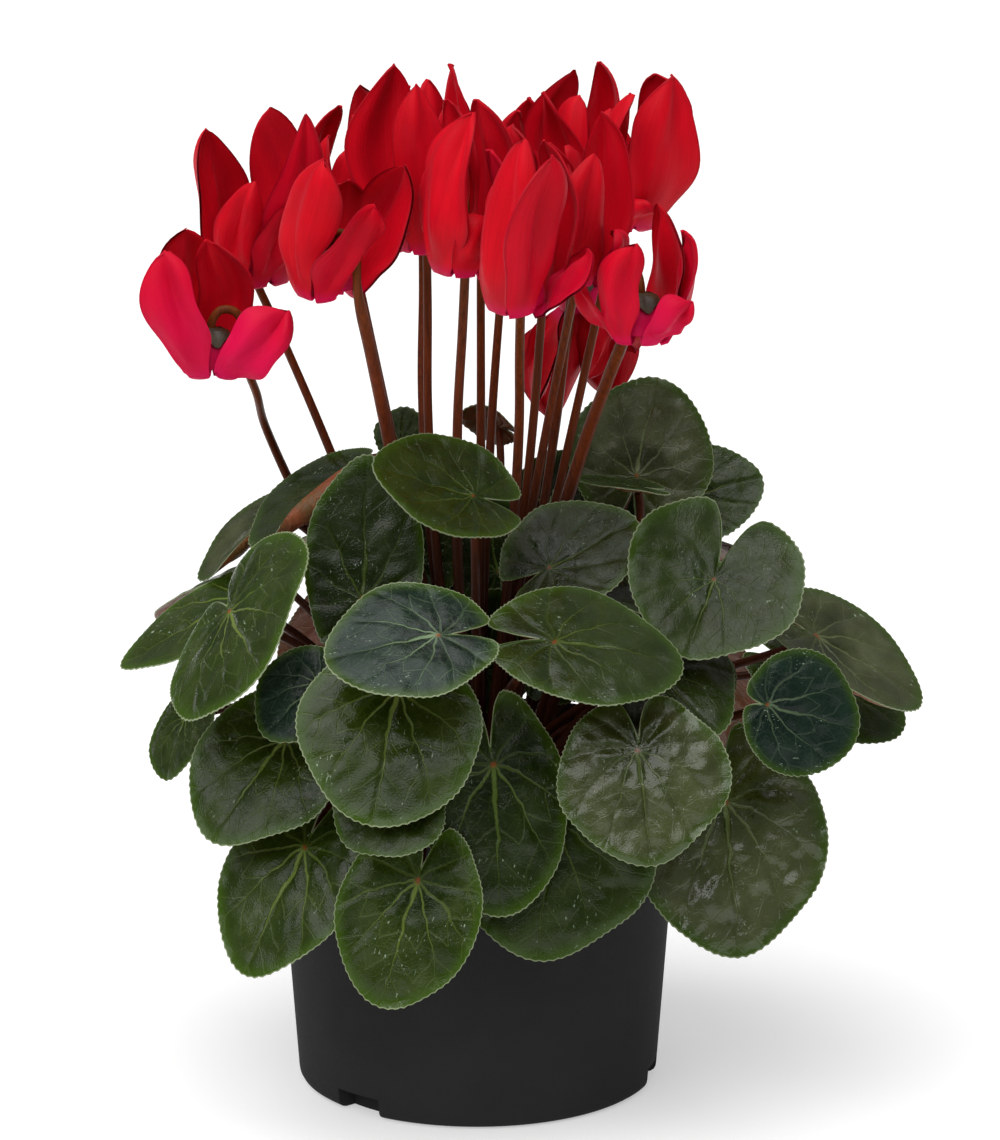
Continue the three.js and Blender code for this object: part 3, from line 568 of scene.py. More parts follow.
@dataclass(frozen=True)
class UndersideFinish:
    """Skin of a leaf's lower side."""

    red: Triple = srgb(116, 58, 26)
    green: Triple = srgb(92, 64, 28)
    net: Triple = srgb(146, 82, 40)

    def material(self) -> bpy.types.Material:
        """Reddish brown with paler raised veins."""
        g = Graph("leaf_underside", 0.55, 0.35)
        flat = g.leaf_plane()
        net = g.band(g.cells(flat, 11.0), 0.0, 0.1, 1.0, 0.0)
        base = g.mix(g.band(g.noise(flat, 4.0, 3.0), 0.35, 0.7), self.red, self.green)
        base = g.mix(g.times(net, 0.3), base, self.net)
        g.colour(base)
        g.relief(g.math("ADD", net, g.noise(flat, 30.0, 2.0)), 0.0003, 0.5)
        return g.material


@dataclass(frozen=True)
class PetalFinish:
    """Satin red petal."""

    red: Triple = srgb(202, 3, 26)
    deep: Triple = srgb(156, 1, 18)
    pink: Triple = srgb(200, 8, 66)
    # painted shade along the petal's sides
    painted_shade_edge: Triple = srgb(110, 0, 16)
    lip: Triple = srgb(204, 10, 84)

    def material(self) -> bpy.types.Material:
        """Red with fine lengthwise veins, painted shade darkening its thin sides, and pink where the petal
        is marked.
        """
        g = Graph("petal_satin", 0.5, 0.09)
        uv = g.sheet("petal")
        parts = g.node("SeparateXYZ", {0: uv}).outputs
        spot = g.lifted(uv, g.attribute("shade"), 9.0)
        streak = g.noise(g.stretch(spot, (2.2, 34.0, 1.0)), 1.0, 4.0, 0.6)
        cloud = g.noise(g.stretch(spot, (2.6, 2.2, 1.0)), 1.0, 2.0)
        base = g.mix(g.band(cloud, 0.3, 0.7, 0.0, 0.55), self.red, self.deep)
        base = g.mix(g.band(streak, 0.35, 0.75, 0.0, 0.28), base, self.deep)
        side = g.math("ABSOLUTE", g.math("SUBTRACT", g.times(parts[1], 2.0), 1.0))
        # Painted shade: the petal darkens towards both its sides.
        base = g.mix(g.band(side, 0.9, 1.0, 0.0, 0.45), base, self.painted_shade_edge)
        base = g.mix(g.times(g.attribute("blush"), 0.95), base, self.pink)
        base = g.mix(g.band(parts[0], 0.1, 0.28, 0.6, 0.0), base, self.lip)
        g.colour(base)
        g.relief(g.math("ADD", streak, g.times(cloud, 0.8)), 0.0004, 0.4)
        for name, value in (("Subsurface Weight", 0.12), ("Subsurface Radius", (1.0, 0.12, 0.12)),
                            ("Subsurface Scale", 0.002), ("Sheen Weight", 0.07),
                            ("Sheen Roughness", 0.45), ("Sheen Tint", (1.0, 0.25, 0.35, 1))):
            g.shader.inputs[name].default_value = value
        return g.material


@dataclass(frozen=True)
class StalkFinish:
    """Skin of the stalks, told by height."""

    low: Triple = srgb(60, 28, 12)
    middle: Triple = srgb(106, 44, 14)
    top: Triple = srgb(108, 52, 17)
    streak: Triple = srgb(44, 18, 8)

    def material(self) -> bpy.types.Material:
        """Dark brown near the tuber, red brown higher up, with lengthwise streaks and a fine grain."""
        g = Graph("stalk_skin", 0.42, 0.1)
        place = g.place()
        height = g.node("SeparateXYZ", {0: place}).outputs[2]
        base = g.mix(g.band(height, 0.15, 0.205), self.low, self.middle)
        base = g.mix(g.band(height, 0.2, 0.255), base, self.top)
        streak = g.noise(g.stretch(place, (900.0, 900.0, 40.0)), 1.0, 3.0, 0.6)
        base = g.mix(g.band(streak, 0.35, 0.7, 0.0, 0.5), base, self.streak)
        g.colour(base)
        g.relief(g.math("ADD", streak, g.noise(place, 2200.0, 2.0)), 0.0002, 0.5)
        return g.material


@dataclass(frozen=True)
class PlainSkin:
    """A skin with blotches, grain and bump, for the smaller pieces."""

    name: str
    first: Triple
    second: Triple
    roughness: float
    blotch: float
    grain: float
    depth: float
    specular: float

    def material(self) -> bpy.types.Material:
        """Two colours in blotches with fine grain."""
        g = Graph(self.name, self.roughness, self.specular)
        place = g.place()
        base = g.mix(g.band(g.noise(place, self.blotch, 4.0, 0.6), 0.32, 0.7), self.first, self.second)
        grain = g.noise(place, self.grain, 3.0, 0.6)
        base = g.mix(g.band(grain, 0.3, 0.8, 0.0, 0.4), base, self.second)
        g.colour(base)
        g.relief(grain, self.depth, 0.7)
        g.roughness(g.band(grain, 0.2, 0.8, self.roughness - 0.05, self.roughness + 0.07))
        return g.material


# ---- pot and compost -----------------------------------------------------------------------
def spun(profile: Sequence[tuple[float, float]], steps: int) -> bmesh.types.BMesh:
    """A turned shape from (radius, height) pairs in millimetres.

    Args:
        profile: the half outline.
        steps: faces round the axis.

    Returns:
        The shape, in metres, facing outwards.
    """
    bm = bmesh.new()
    verts = [bm.verts.new((r * MM, 0, h * MM)) for r, h in profile]
    edges = [bm.edges.new(pair) for pair in zip(verts, verts[1:])]
    bmesh.ops.spin(bm, geom=verts + edges, cent=(0, 0, 0), axis=(0, 0, 1), angle=2 * math.pi, steps=steps,
                   use_merge=True)
    bmesh.ops.remove_doubles(bm, verts=bm.verts[:], dist=1e-6)
    bmesh.ops.recalc_face_normals(bm, faces=bm.faces[:])
    return bm


@dataclass
class Pot:
    """The moulded nursery pot, with notches round the foot and drain holes."""

    height: float = 95
    base: float = 51.5
    neck: float = 57.6
    rim: float = 60
    rim_depth: float = 9
    wall: float = 1.2
    floor: float = 1.6
    notches: tuple[float, ...] = (-131, -11, 109)
    notch_half: float = 8.5
    notch_height: float = 6
    notch_inner: float = 45.6
    lining: float = 1.4
    drains: int = 4
    drain_ring: float = 33
    drain_radius: float = 4
    drain_depth: float = 8
    edge: float = 0.35

    def wedge(self, grow: float, bottom: float) -> bmesh.types.BMesh:
        """The wedges that the foot is cut back by.

        Args:
            grow: how far each is grown on its sides, top and inner face, in millimetres.
            bottom: where it starts.

        Returns:
            All three wedges.
        """
        bm = bmesh.new()
        half = math.radians(self.notch_half) + grow / self.base
        for azimuth in self.notches:
            made = bmesh.ops.create_grid(bm, x_segments=1, y_segments=12, size=0.5)["verts"]
            inner, outer = (self.notch_inner - grow) * MM, (self.rim + 2) * MM
            for vert in made:
                turn = math.radians(azimuth) + 2 * half * vert.co.y
                r = inner + (outer - inner) * (vert.co.x + 0.5)
                vert.co = (r * math.cos(turn), r * math.sin(turn), bottom * MM)
            faces = list(dict.fromkeys(f for v in made for f in v.link_faces))
            top = bmesh.ops.extrude_face_region(bm, geom=faces)["geom"]
            rise = (self.notch_height + grow - bottom) * MM
            bmesh.ops.translate(bm, verts=[g for g in top if isinstance(g, bmesh.types.BMVert)],
                                vec=(0, 0, rise))
        bmesh.ops.recalc_face_normals(bm, faces=bm.faces[:])
        return bm

    def outside(self) -> list[tuple[float, float]]:
        """Outer half outline."""
        base, rim, shoulder = self.base, self.rim, self.height - self.rim_depth
        return [(0, 0), (base - 2.9, 0), (base - 1.7, 0.25), (base - 0.7, 0.9), (base - 0.2, 1.8),
                (base, 3), (self.neck, shoulder), (rim - 0.3, shoulder + 1.2), (rim, shoulder + 2),
                (rim, self.height - 0.5), (rim - 0.25, self.height)]

    def inside(self) -> list[tuple[float, float]]:
        """Inner half outline, from the rim down."""
        lip, shoulder = self.rim - self.wall, self.height - self.rim_depth
        return [(lip + 0.25, self.height), (lip, self.height - 0.5), (lip, shoulder + 2.6),
                (self.neck - self.wall, shoulder + 0.6), (self.base - self.wall, 3.6),
                (self.base - 3.2, self.floor), (0, self.floor)]

    def drill(self) -> bmesh.types.BMesh:
        """The rods that leave the drain holes."""
        bm = bmesh.new()
        radius = self.drain_radius * MM
        for corner in range(self.drains):
            turn = 2 * math.pi * (corner + 0.5) / self.drains
            spot = Vector((math.cos(turn), math.sin(turn), 0)) * self.drain_ring * MM
            bmesh.ops.create_cone(bm, cap_ends=True, segments=24, radius1=radius, radius2=radius,
                                  depth=self.drain_depth * MM, matrix=Matrix.Translation(spot))
        return bm

    def build(self, skin: bpy.types.Material) -> bpy.types.Object:
        """The pot as one piece.

        Args:
            skin: its plastic.

        Returns:
            The piece.
        """
        shell = spun([*self.outside(), *self.inside()], 144)
        pot = piece_from(shell, "pot_shell", [skin], ["pot"], 30)
        full = spun([*self.outside(), (0, self.height)], 144)
        tools = [self.tool(full, "full"), self.tool(self.wedge(self.lining, 0.4), "lining"),
                 self.tool(self.wedge(0, -1), "cut"), self.tool(self.drill(), "drill")]
        whole, lining, cut, drill = tools
        self.boolean(lining, whole, "INTERSECT")
        baked(lining)
        for tool, operation in ((lining, "UNION"), (cut, "DIFFERENCE"), (drill, "DIFFERENCE")):
            self.boolean(pot, tool, operation)
        baked(pot)
        for tool in tools:
            bpy.data.objects.remove(tool)
        pot.data.set_sharp_from_angle(angle=math.radians(30))
        bevel = pot.modifiers.new("edges", "BEVEL")
        bevel.width, bevel.segments, bevel.limit_method = self.edge * MM, 2, "ANGLE"
        bevel.angle_limit = math.radians(50)
        baked(pot)
        return pot

    @staticmethod
    def tool(bm: bmesh.types.BMesh, name: str) -> bpy.types.Object:
        """A passing object that cuts or joins."""
        return placed(name, mesh_of(bm, name))

    @staticmethod
    def boolean(piece: bpy.types.Object, tool: bpy.types.Object, operation: str) -> None:
        """Adds one Boolean to a piece."""
        step = piece.modifiers.new(operation.lower(), "BOOLEAN")
        step.object, step.operation, step.solver = tool, operation, "EXACT"


@dataclass
class Compost:
    """The fill of the pot and the crumbs on it."""

    bottom: float = 2.0
    top: float = 85.4
    radius: float = 55.7
    foot: float = 46.0
    rings: int = 22
    crumbs: int = 700
    crumb_reach: float = 54.5
    crumb_free: float = 0.14

    def build(self, skin: bpy.types.Material, bark: bpy.types.Material) -> None:
        """The fill with its lumpy top, and loose crumbs.

        Args:
            skin: finish of the fill.
            bark: finish of the crumbs.
        """
        levels = [(0, self.bottom), (self.foot - 1, self.bottom), (self.foot, 4),
                  (self.radius - 0.3, self.top - 3)]
        levels += [(self.radius * (1 - i / self.rings) ** 0.9, self.top) for i in range(self.rings + 1)]
        bed = spun(levels, 96)
        for vert in bed.verts:
            if vert.co.z > (self.top - 1.4) * MM:
                vert.co.z += 0.0016 * noise.fractal(vert.co * 90, 1.0, 2.0, 4) + 0.0006
        piece_from(bed, "compost_bed", [skin], ["compost"], 180)
        loose = bmesh.new()
        draw = seeded(CRUMB_SEED)
        noise.seed_set(CRUMB_SEED)  # noise_vector follows the clock until it is seeded
        for _ in range(self.crumbs):
            share = (draw() + 1) / 2 * (1 - self.crumb_free) + self.crumb_free
            r = self.crumb_reach * MM * math.sqrt(share)
            turn = math.pi * draw()
            size = (0.9 + 0.7 * draw()) * MM
            spot = (Matrix.Translation((r * math.cos(turn), r * math.sin(turn), self.top * MM + 0.0008))
                    @ Matrix.Rotation(math.pi * draw(), 4, (1.0, draw(), draw()))
                    @ Matrix.Diagonal((size * (1.3 + 0.6 * draw()), size, size * 0.7, 1)))
            made = bmesh.ops.create_icosphere(loose, subdivisions=1, radius=1, matrix=spot)["verts"]
            for vert in made:
                vert.co += noise.noise_vector(vert.co * 700) * size * 0.35
        piece_from(loose, "compost_crumbs", [bark], ["compost"], 25)


def next_ring(bm: bmesh.types.BMesh, ring: list[bmesh.types.BMVert],
              edges: list[bmesh.types.BMEdge]) -> tuple[list[bmesh.types.BMVert], list[bmesh.types.BMEdge]]:
    """Extrudes a closed ring of edges.

    Args:
        bm: the shape.
        ring: the ring's vertices in order.
        edges: its edges.

    Returns:
        The new ring's vertices in the same order, and its edges.
    """
    grown = bmesh.ops.extrude_edge_only(bm, edges=edges)["geom"]
    fresh = {g for g in grown if isinstance(g, bmesh.types.BMVert)}
    after = [next(e.other_vert(v) for e in v.link_edges if e.other_vert(v) in fresh) for v in ring]
    return after, [g for g in grown if isinstance(g, bmesh.types.BMEdge) and set(g.verts) <= fresh]


# ---- crown: tuber, stalks and calyces --------------------------------------------------------
@dataclass
class Tube:
    """A round stalk along points."""

    path: list[Vector]
    radii: list[float]
    sides: int = 12

    def add(self, bm: bmesh.types.BMesh) -> None:
        """Grows the stalk ring by ring, closed at both ends.

        Args:
            bm: the shape that the stalk is added to.
        """
        last = len(self.path) - 1
        side = Vector((1, 0, 0))
        first = ring = bmesh.ops.create_circle(bm, segments=self.sides, radius=1.0)["verts"]
        edges = list(dict.fromkeys(e for v in ring for e in v.link_edges))
        unit = [v.co.copy() for v in ring]
        for i, point in enumerate(self.path):
            if i:
                ring, edges = next_ring(bm, ring, edges)
            along = (self.path[min(i + 1, last)] - self.path[max(i - 1, 0)]).normalized()
            side = (side - along * side.dot(along)).normalized()
            turn = Matrix((side, along.cross(side), along)).transposed()
            for vert, spot in zip(ring, unit):
                vert.co = point + (turn @ spot) * self.radii[i]
        bm.faces.new(first)
        bm.faces.new(ring)


@dataclass
class Crown:
    """What grows as one body: tuber, leaf stalks, flower stalks with hooks, calyces."""

    leaf_radius: float = 1.25
    flower_radius: float = 1.22
    tuber_radius: float = 20
    tuber_top: float = 92
    tuber_bottom: float = 73
    end_gap: float = 1.1
    root_radius: float = 10.5
    leaf_steps: int = 22
    flower_steps: int = 72

    def tuber(self, skin: bpy.types.Material) -> None:
        """The corky tuber, half sunk in the compost."""
        h = self.tuber_top - self.tuber_bottom
        r, low = self.tuber_radius, self.tuber_bottom
        outline = ((0, 0), (0.35, 0.02), (0.62, 0.06), (0.86, 0.2), (1, 0.42), (0.97, 0.62), (0.86, 0.79),
                   (0.68, 0.91), (0.48, 0.98), (0.22, 1), (0, 1))
        bm = spun([(x * r, low + z * h) for x, z in outline], 48)
        bmesh.ops.subdivide_edges(bm, edges=bm.edges[:], cuts=1, use_grid_fill=True, smooth=0.5)
        for vert in bm.verts:
            vert.co += vert.co.normalized() * 0.0009 * noise.fractal(vert.co * 130, 1.0, 2.0, 4)
        piece_from(bm, "tuber", [skin], ["crown"], 60)

    def leaf_stalk(self, plan: LeafPlan, index: int) -> Tube:
        """The stalk of one leaf.

        Args:
            plan: the leaf.
            index: its place in the table, which fixes its root.

        Returns:
            The tube.
        """
        along, _, up, _ = leaf_axes(plan)
        place = Vector(plan.place)
        arrive = (along * 0.42 + up * 0.9).normalized()
        end = place - arrive * self.end_gap
        bearing = math.atan2(place.y, place.x)
        out = Vector((math.cos(bearing), math.sin(bearing), 0))
        row = index % 3
        start = out * (self.root_radius + 3.5 * row) + Vector((0, 0, self.tuber_top - 3 - 1.5 * row))
        reach = (end - start).length
        low = end.z < 120
        bow = Vector(plan.bow)
        first = start + out * (reach * (0.22 if low else 0.1)) + bow
        first.z += 30 if low else 0.45 * (end.z - start.z)
        second = end - arrive * min(0.35 * reach, 14 if low else 20) + bow
        if low:
            second.z += 0.5 * (120 - end.z)
        steps = self.leaf_steps
        path = [bezier((start, first, second, end), i / steps) * MM for i in range(steps + 1)]
        radii = [self.leaf_radius * MM * (1.22 - 0.32 * i / steps + 0.12 * smooth(0.9, 1, i / steps))
                 for i in range(steps + 1)]
        return Tube(path, radii, 10)

    def flower_stalk(self, plan: FlowerPlan) -> Tube:
        """The stalk of one flower with its hook.

        Args:
            plan: the flower.

        Returns:
            The tube.
        """
        mouth = Vector(plan.mouth)
        out = Vector((math.cos(math.radians(plan.gap)), math.sin(math.radians(plan.gap)), 0))

        def at(r: float, h: float) -> Vector:
            """A point beside the mouth in the stalk's plane."""
            return mouth + out * r + Vector((0, 0, h))
        by = Vector(plan.by)
        flat = Vector((by.x, by.y, 0))
        start = flat.normalized() * min(8, 0.2 * flat.length) + Vector((0, 0, self.tuber_top - 4))
        neck = at(9.4, 1)
        climb = through([start, by, by.lerp(neck, 0.6), neck], 4)
        knots = [*climb, at(8.9, 11), at(6.4, 15.2), at(2.6, 15.6), at(0.2, 12.6), at(0, 9)]
        steps = self.flower_steps
        path = [p * MM for p in through(knots, steps)]
        climbed = (len(climb) - 1) / (len(knots) - 1)
        radii = []
        for i in range(steps + 1):
            t = i / steps
            thick = plan.thick + (1 - plan.thick) * smooth(climbed - 0.06, climbed + 0.02, t)
            radii.append(self.flower_radius * MM * thick * (1.18 - 0.2 * smooth(0, 0.3, t)))
        return Tube(path, radii, 12)

    def calyx(self, bm: bmesh.types.BMesh, plan: FlowerPlan) -> None:
        """Five pointed sepals over the closed end of the corolla.

        Args:
            bm: the shape that they are added to.
            plan: the flower.
        """
        mouth = Vector(plan.mouth) * MM
        levels = ((1.7, 10.9, 0), (2.8, 10.2, 0.1), (4.1, 9.2, 0.3), (5.2, 7.8, 0.7), (6.1, 6.0, 1.0))
        first = ring = bmesh.ops.create_circle(bm, segments=40, radius=1.0)["verts"]
        edges = list(dict.fromkeys(e for v in ring for e in v.link_edges))
        unit = [v.co.copy() for v in ring]
        for step, (r, h, star) in enumerate(levels):
            if step:
                ring, edges = next_ring(bm, ring, edges)
            for vert, spot in zip(ring, unit):
                lobe = (0.5 + 0.5 * math.cos(5 * math.atan2(spot.y, spot.x))) ** 1.6
                reach = r * (1 - 0.1 * star * (1 - lobe))
                lift = h + star * 2.2 * (1 - lobe)
                vert.co = mouth + Vector((spot.x * reach, spot.y * reach, lift)) * MM
        bm.faces.new(first)

    def build(self, stalk: bpy.types.Material, cork: bpy.types.Material, sepal: bpy.types.Material) -> None:
        """All pieces of the crown.

        Args:
            stalk: finish of the stalks.
            cork: finish of the tuber.
            sepal: finish of the calyces.
        """
        self.tuber(cork)
        low, high, stars = bmesh.new(), bmesh.new(), bmesh.new()
        for index, leaf in enumerate((*LEAVES, *YOUNG)):
            self.leaf_stalk(leaf, index).add(low)
        for flower in FLOWERS:
            self.flower_stalk(flower).add(high)
            self.calyx(stars, flower)
        bmesh.ops.solidify(stars, geom=stars.faces[:], thickness=0.4 * MM)
        for bm, name, finish in ((low, "leaf_stalks", stalk), (high, "flower_stalks", stalk),
                                 (stars, "calyces", sepal)):
            bmesh.ops.recalc_face_normals(bm, faces=bm.faces[:])
            piece_from(bm, name, [finish], ["crown"], 70)


# ---- leaves --------------------------------------------------------------------------------
def leaf_axes(plan: LeafPlan) -> tuple[Vector, Vector, Vector, float]:
    """Midrib direction, left side, upper normal and length of a leaf, in millimetres."""
    tip = Vector(plan.tip)
    along = tip.normalized()
    face = Vector(plan.face)
    up = (face - along * face.dot(along)).normalized()
    return along, up.cross(along), up, tip.length


@dataclass
class LeafBlade:
    """One blade: a heart-shaped, toothed and waved sheet with sunk veins."""

    number: int
    plan: LeafPlan
    node: str = ""
    rings: int = 18
    depth: float = 0.6
    tooth_width: float = 1.8
    tooth: float = 0.5
    wave: float = 1.1
    centre: float = 0.3
    dome: float = 1.7
    roll_share: float = 0.039
    roll_radius: float = 3.8

    def rim(self, angle: float, length: float) -> float:
        """Outline radius at an angle from the midrib, in degrees, before the teeth."""
        behind = max(5.0, 180 - abs(angle))
        notch = 1 - math.exp(-((behind / 9.5) ** 2))
        turn = math.radians(angle)
        back = 1 + self.plan.lobes * (1 - math.cos(turn)) / 2
        tip = 0.07 * math.exp(-((angle / 20) ** 2))
        return length * (0.71 + 0.21 * math.cos(turn) + 0.03 * math.cos(2 * turn) + tip) * notch * back

    def height(self, x: float, y: float, length: float, phase: float) -> float:
        """How far the sheet stands off its plane, in millimetres, without its veins."""
        plan = self.plan
        from_centre = x - self.centre * length
        reach = math.hypot(from_centre, y) / length
        bearing = math.atan2(y, from_centre)
        side = math.copysign(1, plan.curl) if plan.curl else 0
        rolled = max(0.0, side * y / length - 0.15) ** 2 * 2.2
        rest = plan.cup * 0.09 + self.wave * 0.027 * math.sin(phase + 3 * math.pi)
        droop = self.dome * (0.35 - reach ** 2.4)
        return (plan.cup * reach ** 2 + plan.fold * abs(y) / length + rolled * abs(plan.curl) + droop
                + self.wave * reach ** 3 * math.sin(3 * bearing + phase)
                + 0.35 * reach ** 4 * math.sin(7 * bearing + 2 * phase) - rest)

    def quilt(self, x: float, y: float, length: float) -> float:
        """Veins sunk in and the skin between them raised, in millimetres."""
        r = math.hypot(x, y) / length
        turn = abs(math.atan2(y, x))
        count = (turn + VEINS.bend * r * math.sin(turn)) / VEINS.spacing
        off = abs(count - round(count)) * VEINS.spacing * r
        strong = 2.0 if self.plan.tone is Tone.GLOSSY else 1.0
        groove = -0.5 * math.exp(-((off / 0.03) ** 2)) * smooth(0.02, 0.15, r) * (1.1 - 0.7 * r)
        puff = 0.75 * noise.fractal(Vector((x / 8, y / 8, self.number * 3.7)), 1.0, 2.0, 2)
        return strong * (groove + puff * smooth(0.1, 0.4, r))

    def margin(self, y: float, h: float, rim_y: float, slope: float) -> tuple[float, float]:
        """Rolls the outer part of a curled side upwards.

        Args:
            y: distance from the midrib, in millimetres.
            h: height there.
            rim_y: distance of the rim from the midrib on the same line.
            slope: rise of the sheet there, per millimetre outwards.

        Returns:
            The new distance and height.
        """
        side = math.copysign(1, self.plan.curl)
        start = (1 - self.roll_share * abs(self.plan.curl)) * abs(rim_y)
        over = side * y - start
        if not self.plan.curl or over <= 0 or side * rim_y <= 0:
            return y, h
        lean = math.atan(slope)
        turn = lean + over / self.roll_radius
        level = h - slope * over
        return (side * (start + self.roll_radius * (math.sin(turn) - math.sin(lean))),
                level + self.roll_radius * (math.cos(lean) - math.cos(turn)))

    def build(self, top: bpy.types.Material, underside: bpy.types.Material) -> bpy.types.Object:
        """The blade as a piece that stands for its node.

        Args:
            top: finish of the upper side.
            underside: finish of the lower side.

        Returns:
            The piece.
        """
        along, side, up, length = leaf_axes(self.plan)
        phase = math.pi * seeded(self.number + WAVE_SEED)()
        shade = seeded(self.number + SHADE_SEED)()
        around = 4.6 * length * (0.5 + 0.5 * self.plan.wide)
        teeth = max(24, round(around / self.tooth_width))
        bm = bmesh.new()
        edge_of, shade_of = bm.verts.layers.float.new("edge"), bm.verts.layers.float.new("shade")
        uv_of = bm.loops.layers.uv.new("leaf")
        bmesh.ops.create_grid(bm, x_segments=self.rings, y_segments=4 * teeth, size=0.5)
        place = Vector(self.plan.place)
        flat = {}
        for vert in bm.verts:
            out, round_ = vert.co.x + 0.5, vert.co.y + 0.5
            angle = 360 * round_ - 180
            spread = 1 - (1 - out) ** 1.25
            turn = math.radians(angle)
            spot = Vector((math.cos(turn), math.sin(turn), 3 * shade))
            r = self.rim(angle, length) * (1 + 0.075 * noise.noise(1.6 * spot))
            saw = abs((round_ * teeth) % 1 - 0.5) * 2 - 0.5
            uneven = 0.75 + 0.6 * noise.noise(9 * spot)
            bite = self.tooth * saw * uneven * smooth(0.9, 1, out) * smooth(180, 168, abs(angle))
            r += bite - 0.25 * self.tooth
            rim_x, rim_y = r * math.cos(turn), r * self.plan.wide * math.sin(turn)
            x = self.centre * length + (rim_x - self.centre * length) * spread
            y = rim_y * spread
            h = self.height(x, y, length, phase)
            if self.plan.curl:
                outward = math.copysign(0.5, self.plan.curl)
                slope = (self.height(x, y + outward, length, phase)
                         - self.height(x, y - outward, length, phase))
                y, h = self.margin(y, h, rim_y, slope)
            h += self.quilt(x, y, length) * smooth(1.0, 0.85, out)
            vert.co = (place + along * x + side * y + up * (h + self.depth / 2)) * MM
            vert[edge_of], vert[shade_of] = out, shade
            flat[vert] = (0.5 + 0.4 * x / length, 0.5 + 0.4 * y / length)
        unfold(bm, uv_of, flat)
        bmesh.ops.remove_doubles(bm, verts=bm.verts[:], dist=1e-7)
        bm.normal_update()
        if sum(f.normal.dot(up) for f in bm.faces) < 0:
            bmesh.ops.reverse_faces(bm, faces=bm.faces[:])
        thicken(bm, lambda v: self.depth * MM * (1 - 0.45 * smooth(0.7, 1, v[edge_of])), 1)
        node = self.node or f"leaf_{self.number:02d}"
        return piece_from(bm, f"blade_{self.number:02d}", [top, underside], [node])


# ---- flowers -------------------------------------------------------------------------------
@dataclass(frozen=True)
class PetalForm:
    """Width, waves and folds of one petal, in millimetres.

    In its methods t runs along the free part from 0 to 1, and q across it from -1 to 1.
    """

    half_width: float
    phase: float
    sway: float
    lean: float
    fold: float
    blunt: float

    def share(self, t: float) -> float:
        """Share of the full width at t, for a tip from pointed (blunt -1) to round (blunt 1)."""
        broad = 0.58 + 0.05 * self.blunt
        if t < broad:
            return 0.36 + 0.64 * smooth(-0.1, broad, t)
        past = (t - broad) / (1 - broad)
        return max(0.0, 1 - past ** (2.9 + 0.7 * self.blunt)) ** (0.86 - 0.1 * self.blunt)

    def half(self, t: float, q: float) -> float:
        """Distance from the middle line to the wavy edge on the side of q."""
        rim = math.copysign(1, q)
        edge = 1 + self.grown(t) * (0.17 * math.sin(5.5 * t + self.phase + 1.4 * rim)
                                    + 0.06 * math.sin(13 * t + 2 * self.phase - rim))
        return self.half_width * self.share(t) * edge

    @staticmethod
    def grown(t: float) -> float:
        """How far the waves have grown in at t, from 0 at the mouth to 1."""
        return smooth(0.12, 0.45, t)

    def drift(self, t: float) -> float:
        """How far the petal bows to one side."""
        return 1.5 * self.lean * (math.sin(math.pi * max(t, 0)) - smooth(0.6, 1, t))

    def lift(self, t: float, q: float, half: float) -> float:
        """How far the sheet stands off its middle line's plane.

        Args:
            t: place along the petal.
            q: place across it.
            half: half its width there.

        Returns:
            The height, with ruffled edges, a crease, flutes, a flowing sheet and a bent tip.
        """
        grown, phase = self.grown(t), self.phase
        rim = math.copysign(1, q)
        hollow = half * (0.1 + 0.15 * grown) * (1 - q * q)
        flare = 0.28 * half * self.fold * abs(q) ** 2.4 * smooth(0.25, 0.75, t)
        ruffle = 1.0 * abs(q) ** 3 * math.sin(8 * t + phase + 1.7 * rim) * grown
        crease = 0.5 * math.exp(-((q / 0.2) ** 2)) * grown * smooth(1, 0.75, t)
        flute = 0.75 * math.sin(1.7 * math.pi * q + phase + 2.5 * t) * grown * smooth(1.02, 0.8, t)
        flow = 0.8 * math.sin(5 * t + 2 * phase + 2 * q) * grown * smooth(1.05, 0.8, t)
        tipped = 2.4 * self.sway * smooth(0.65, 1, t)
        return ruffle + crease + flute + flow + flare + tipped - hollow


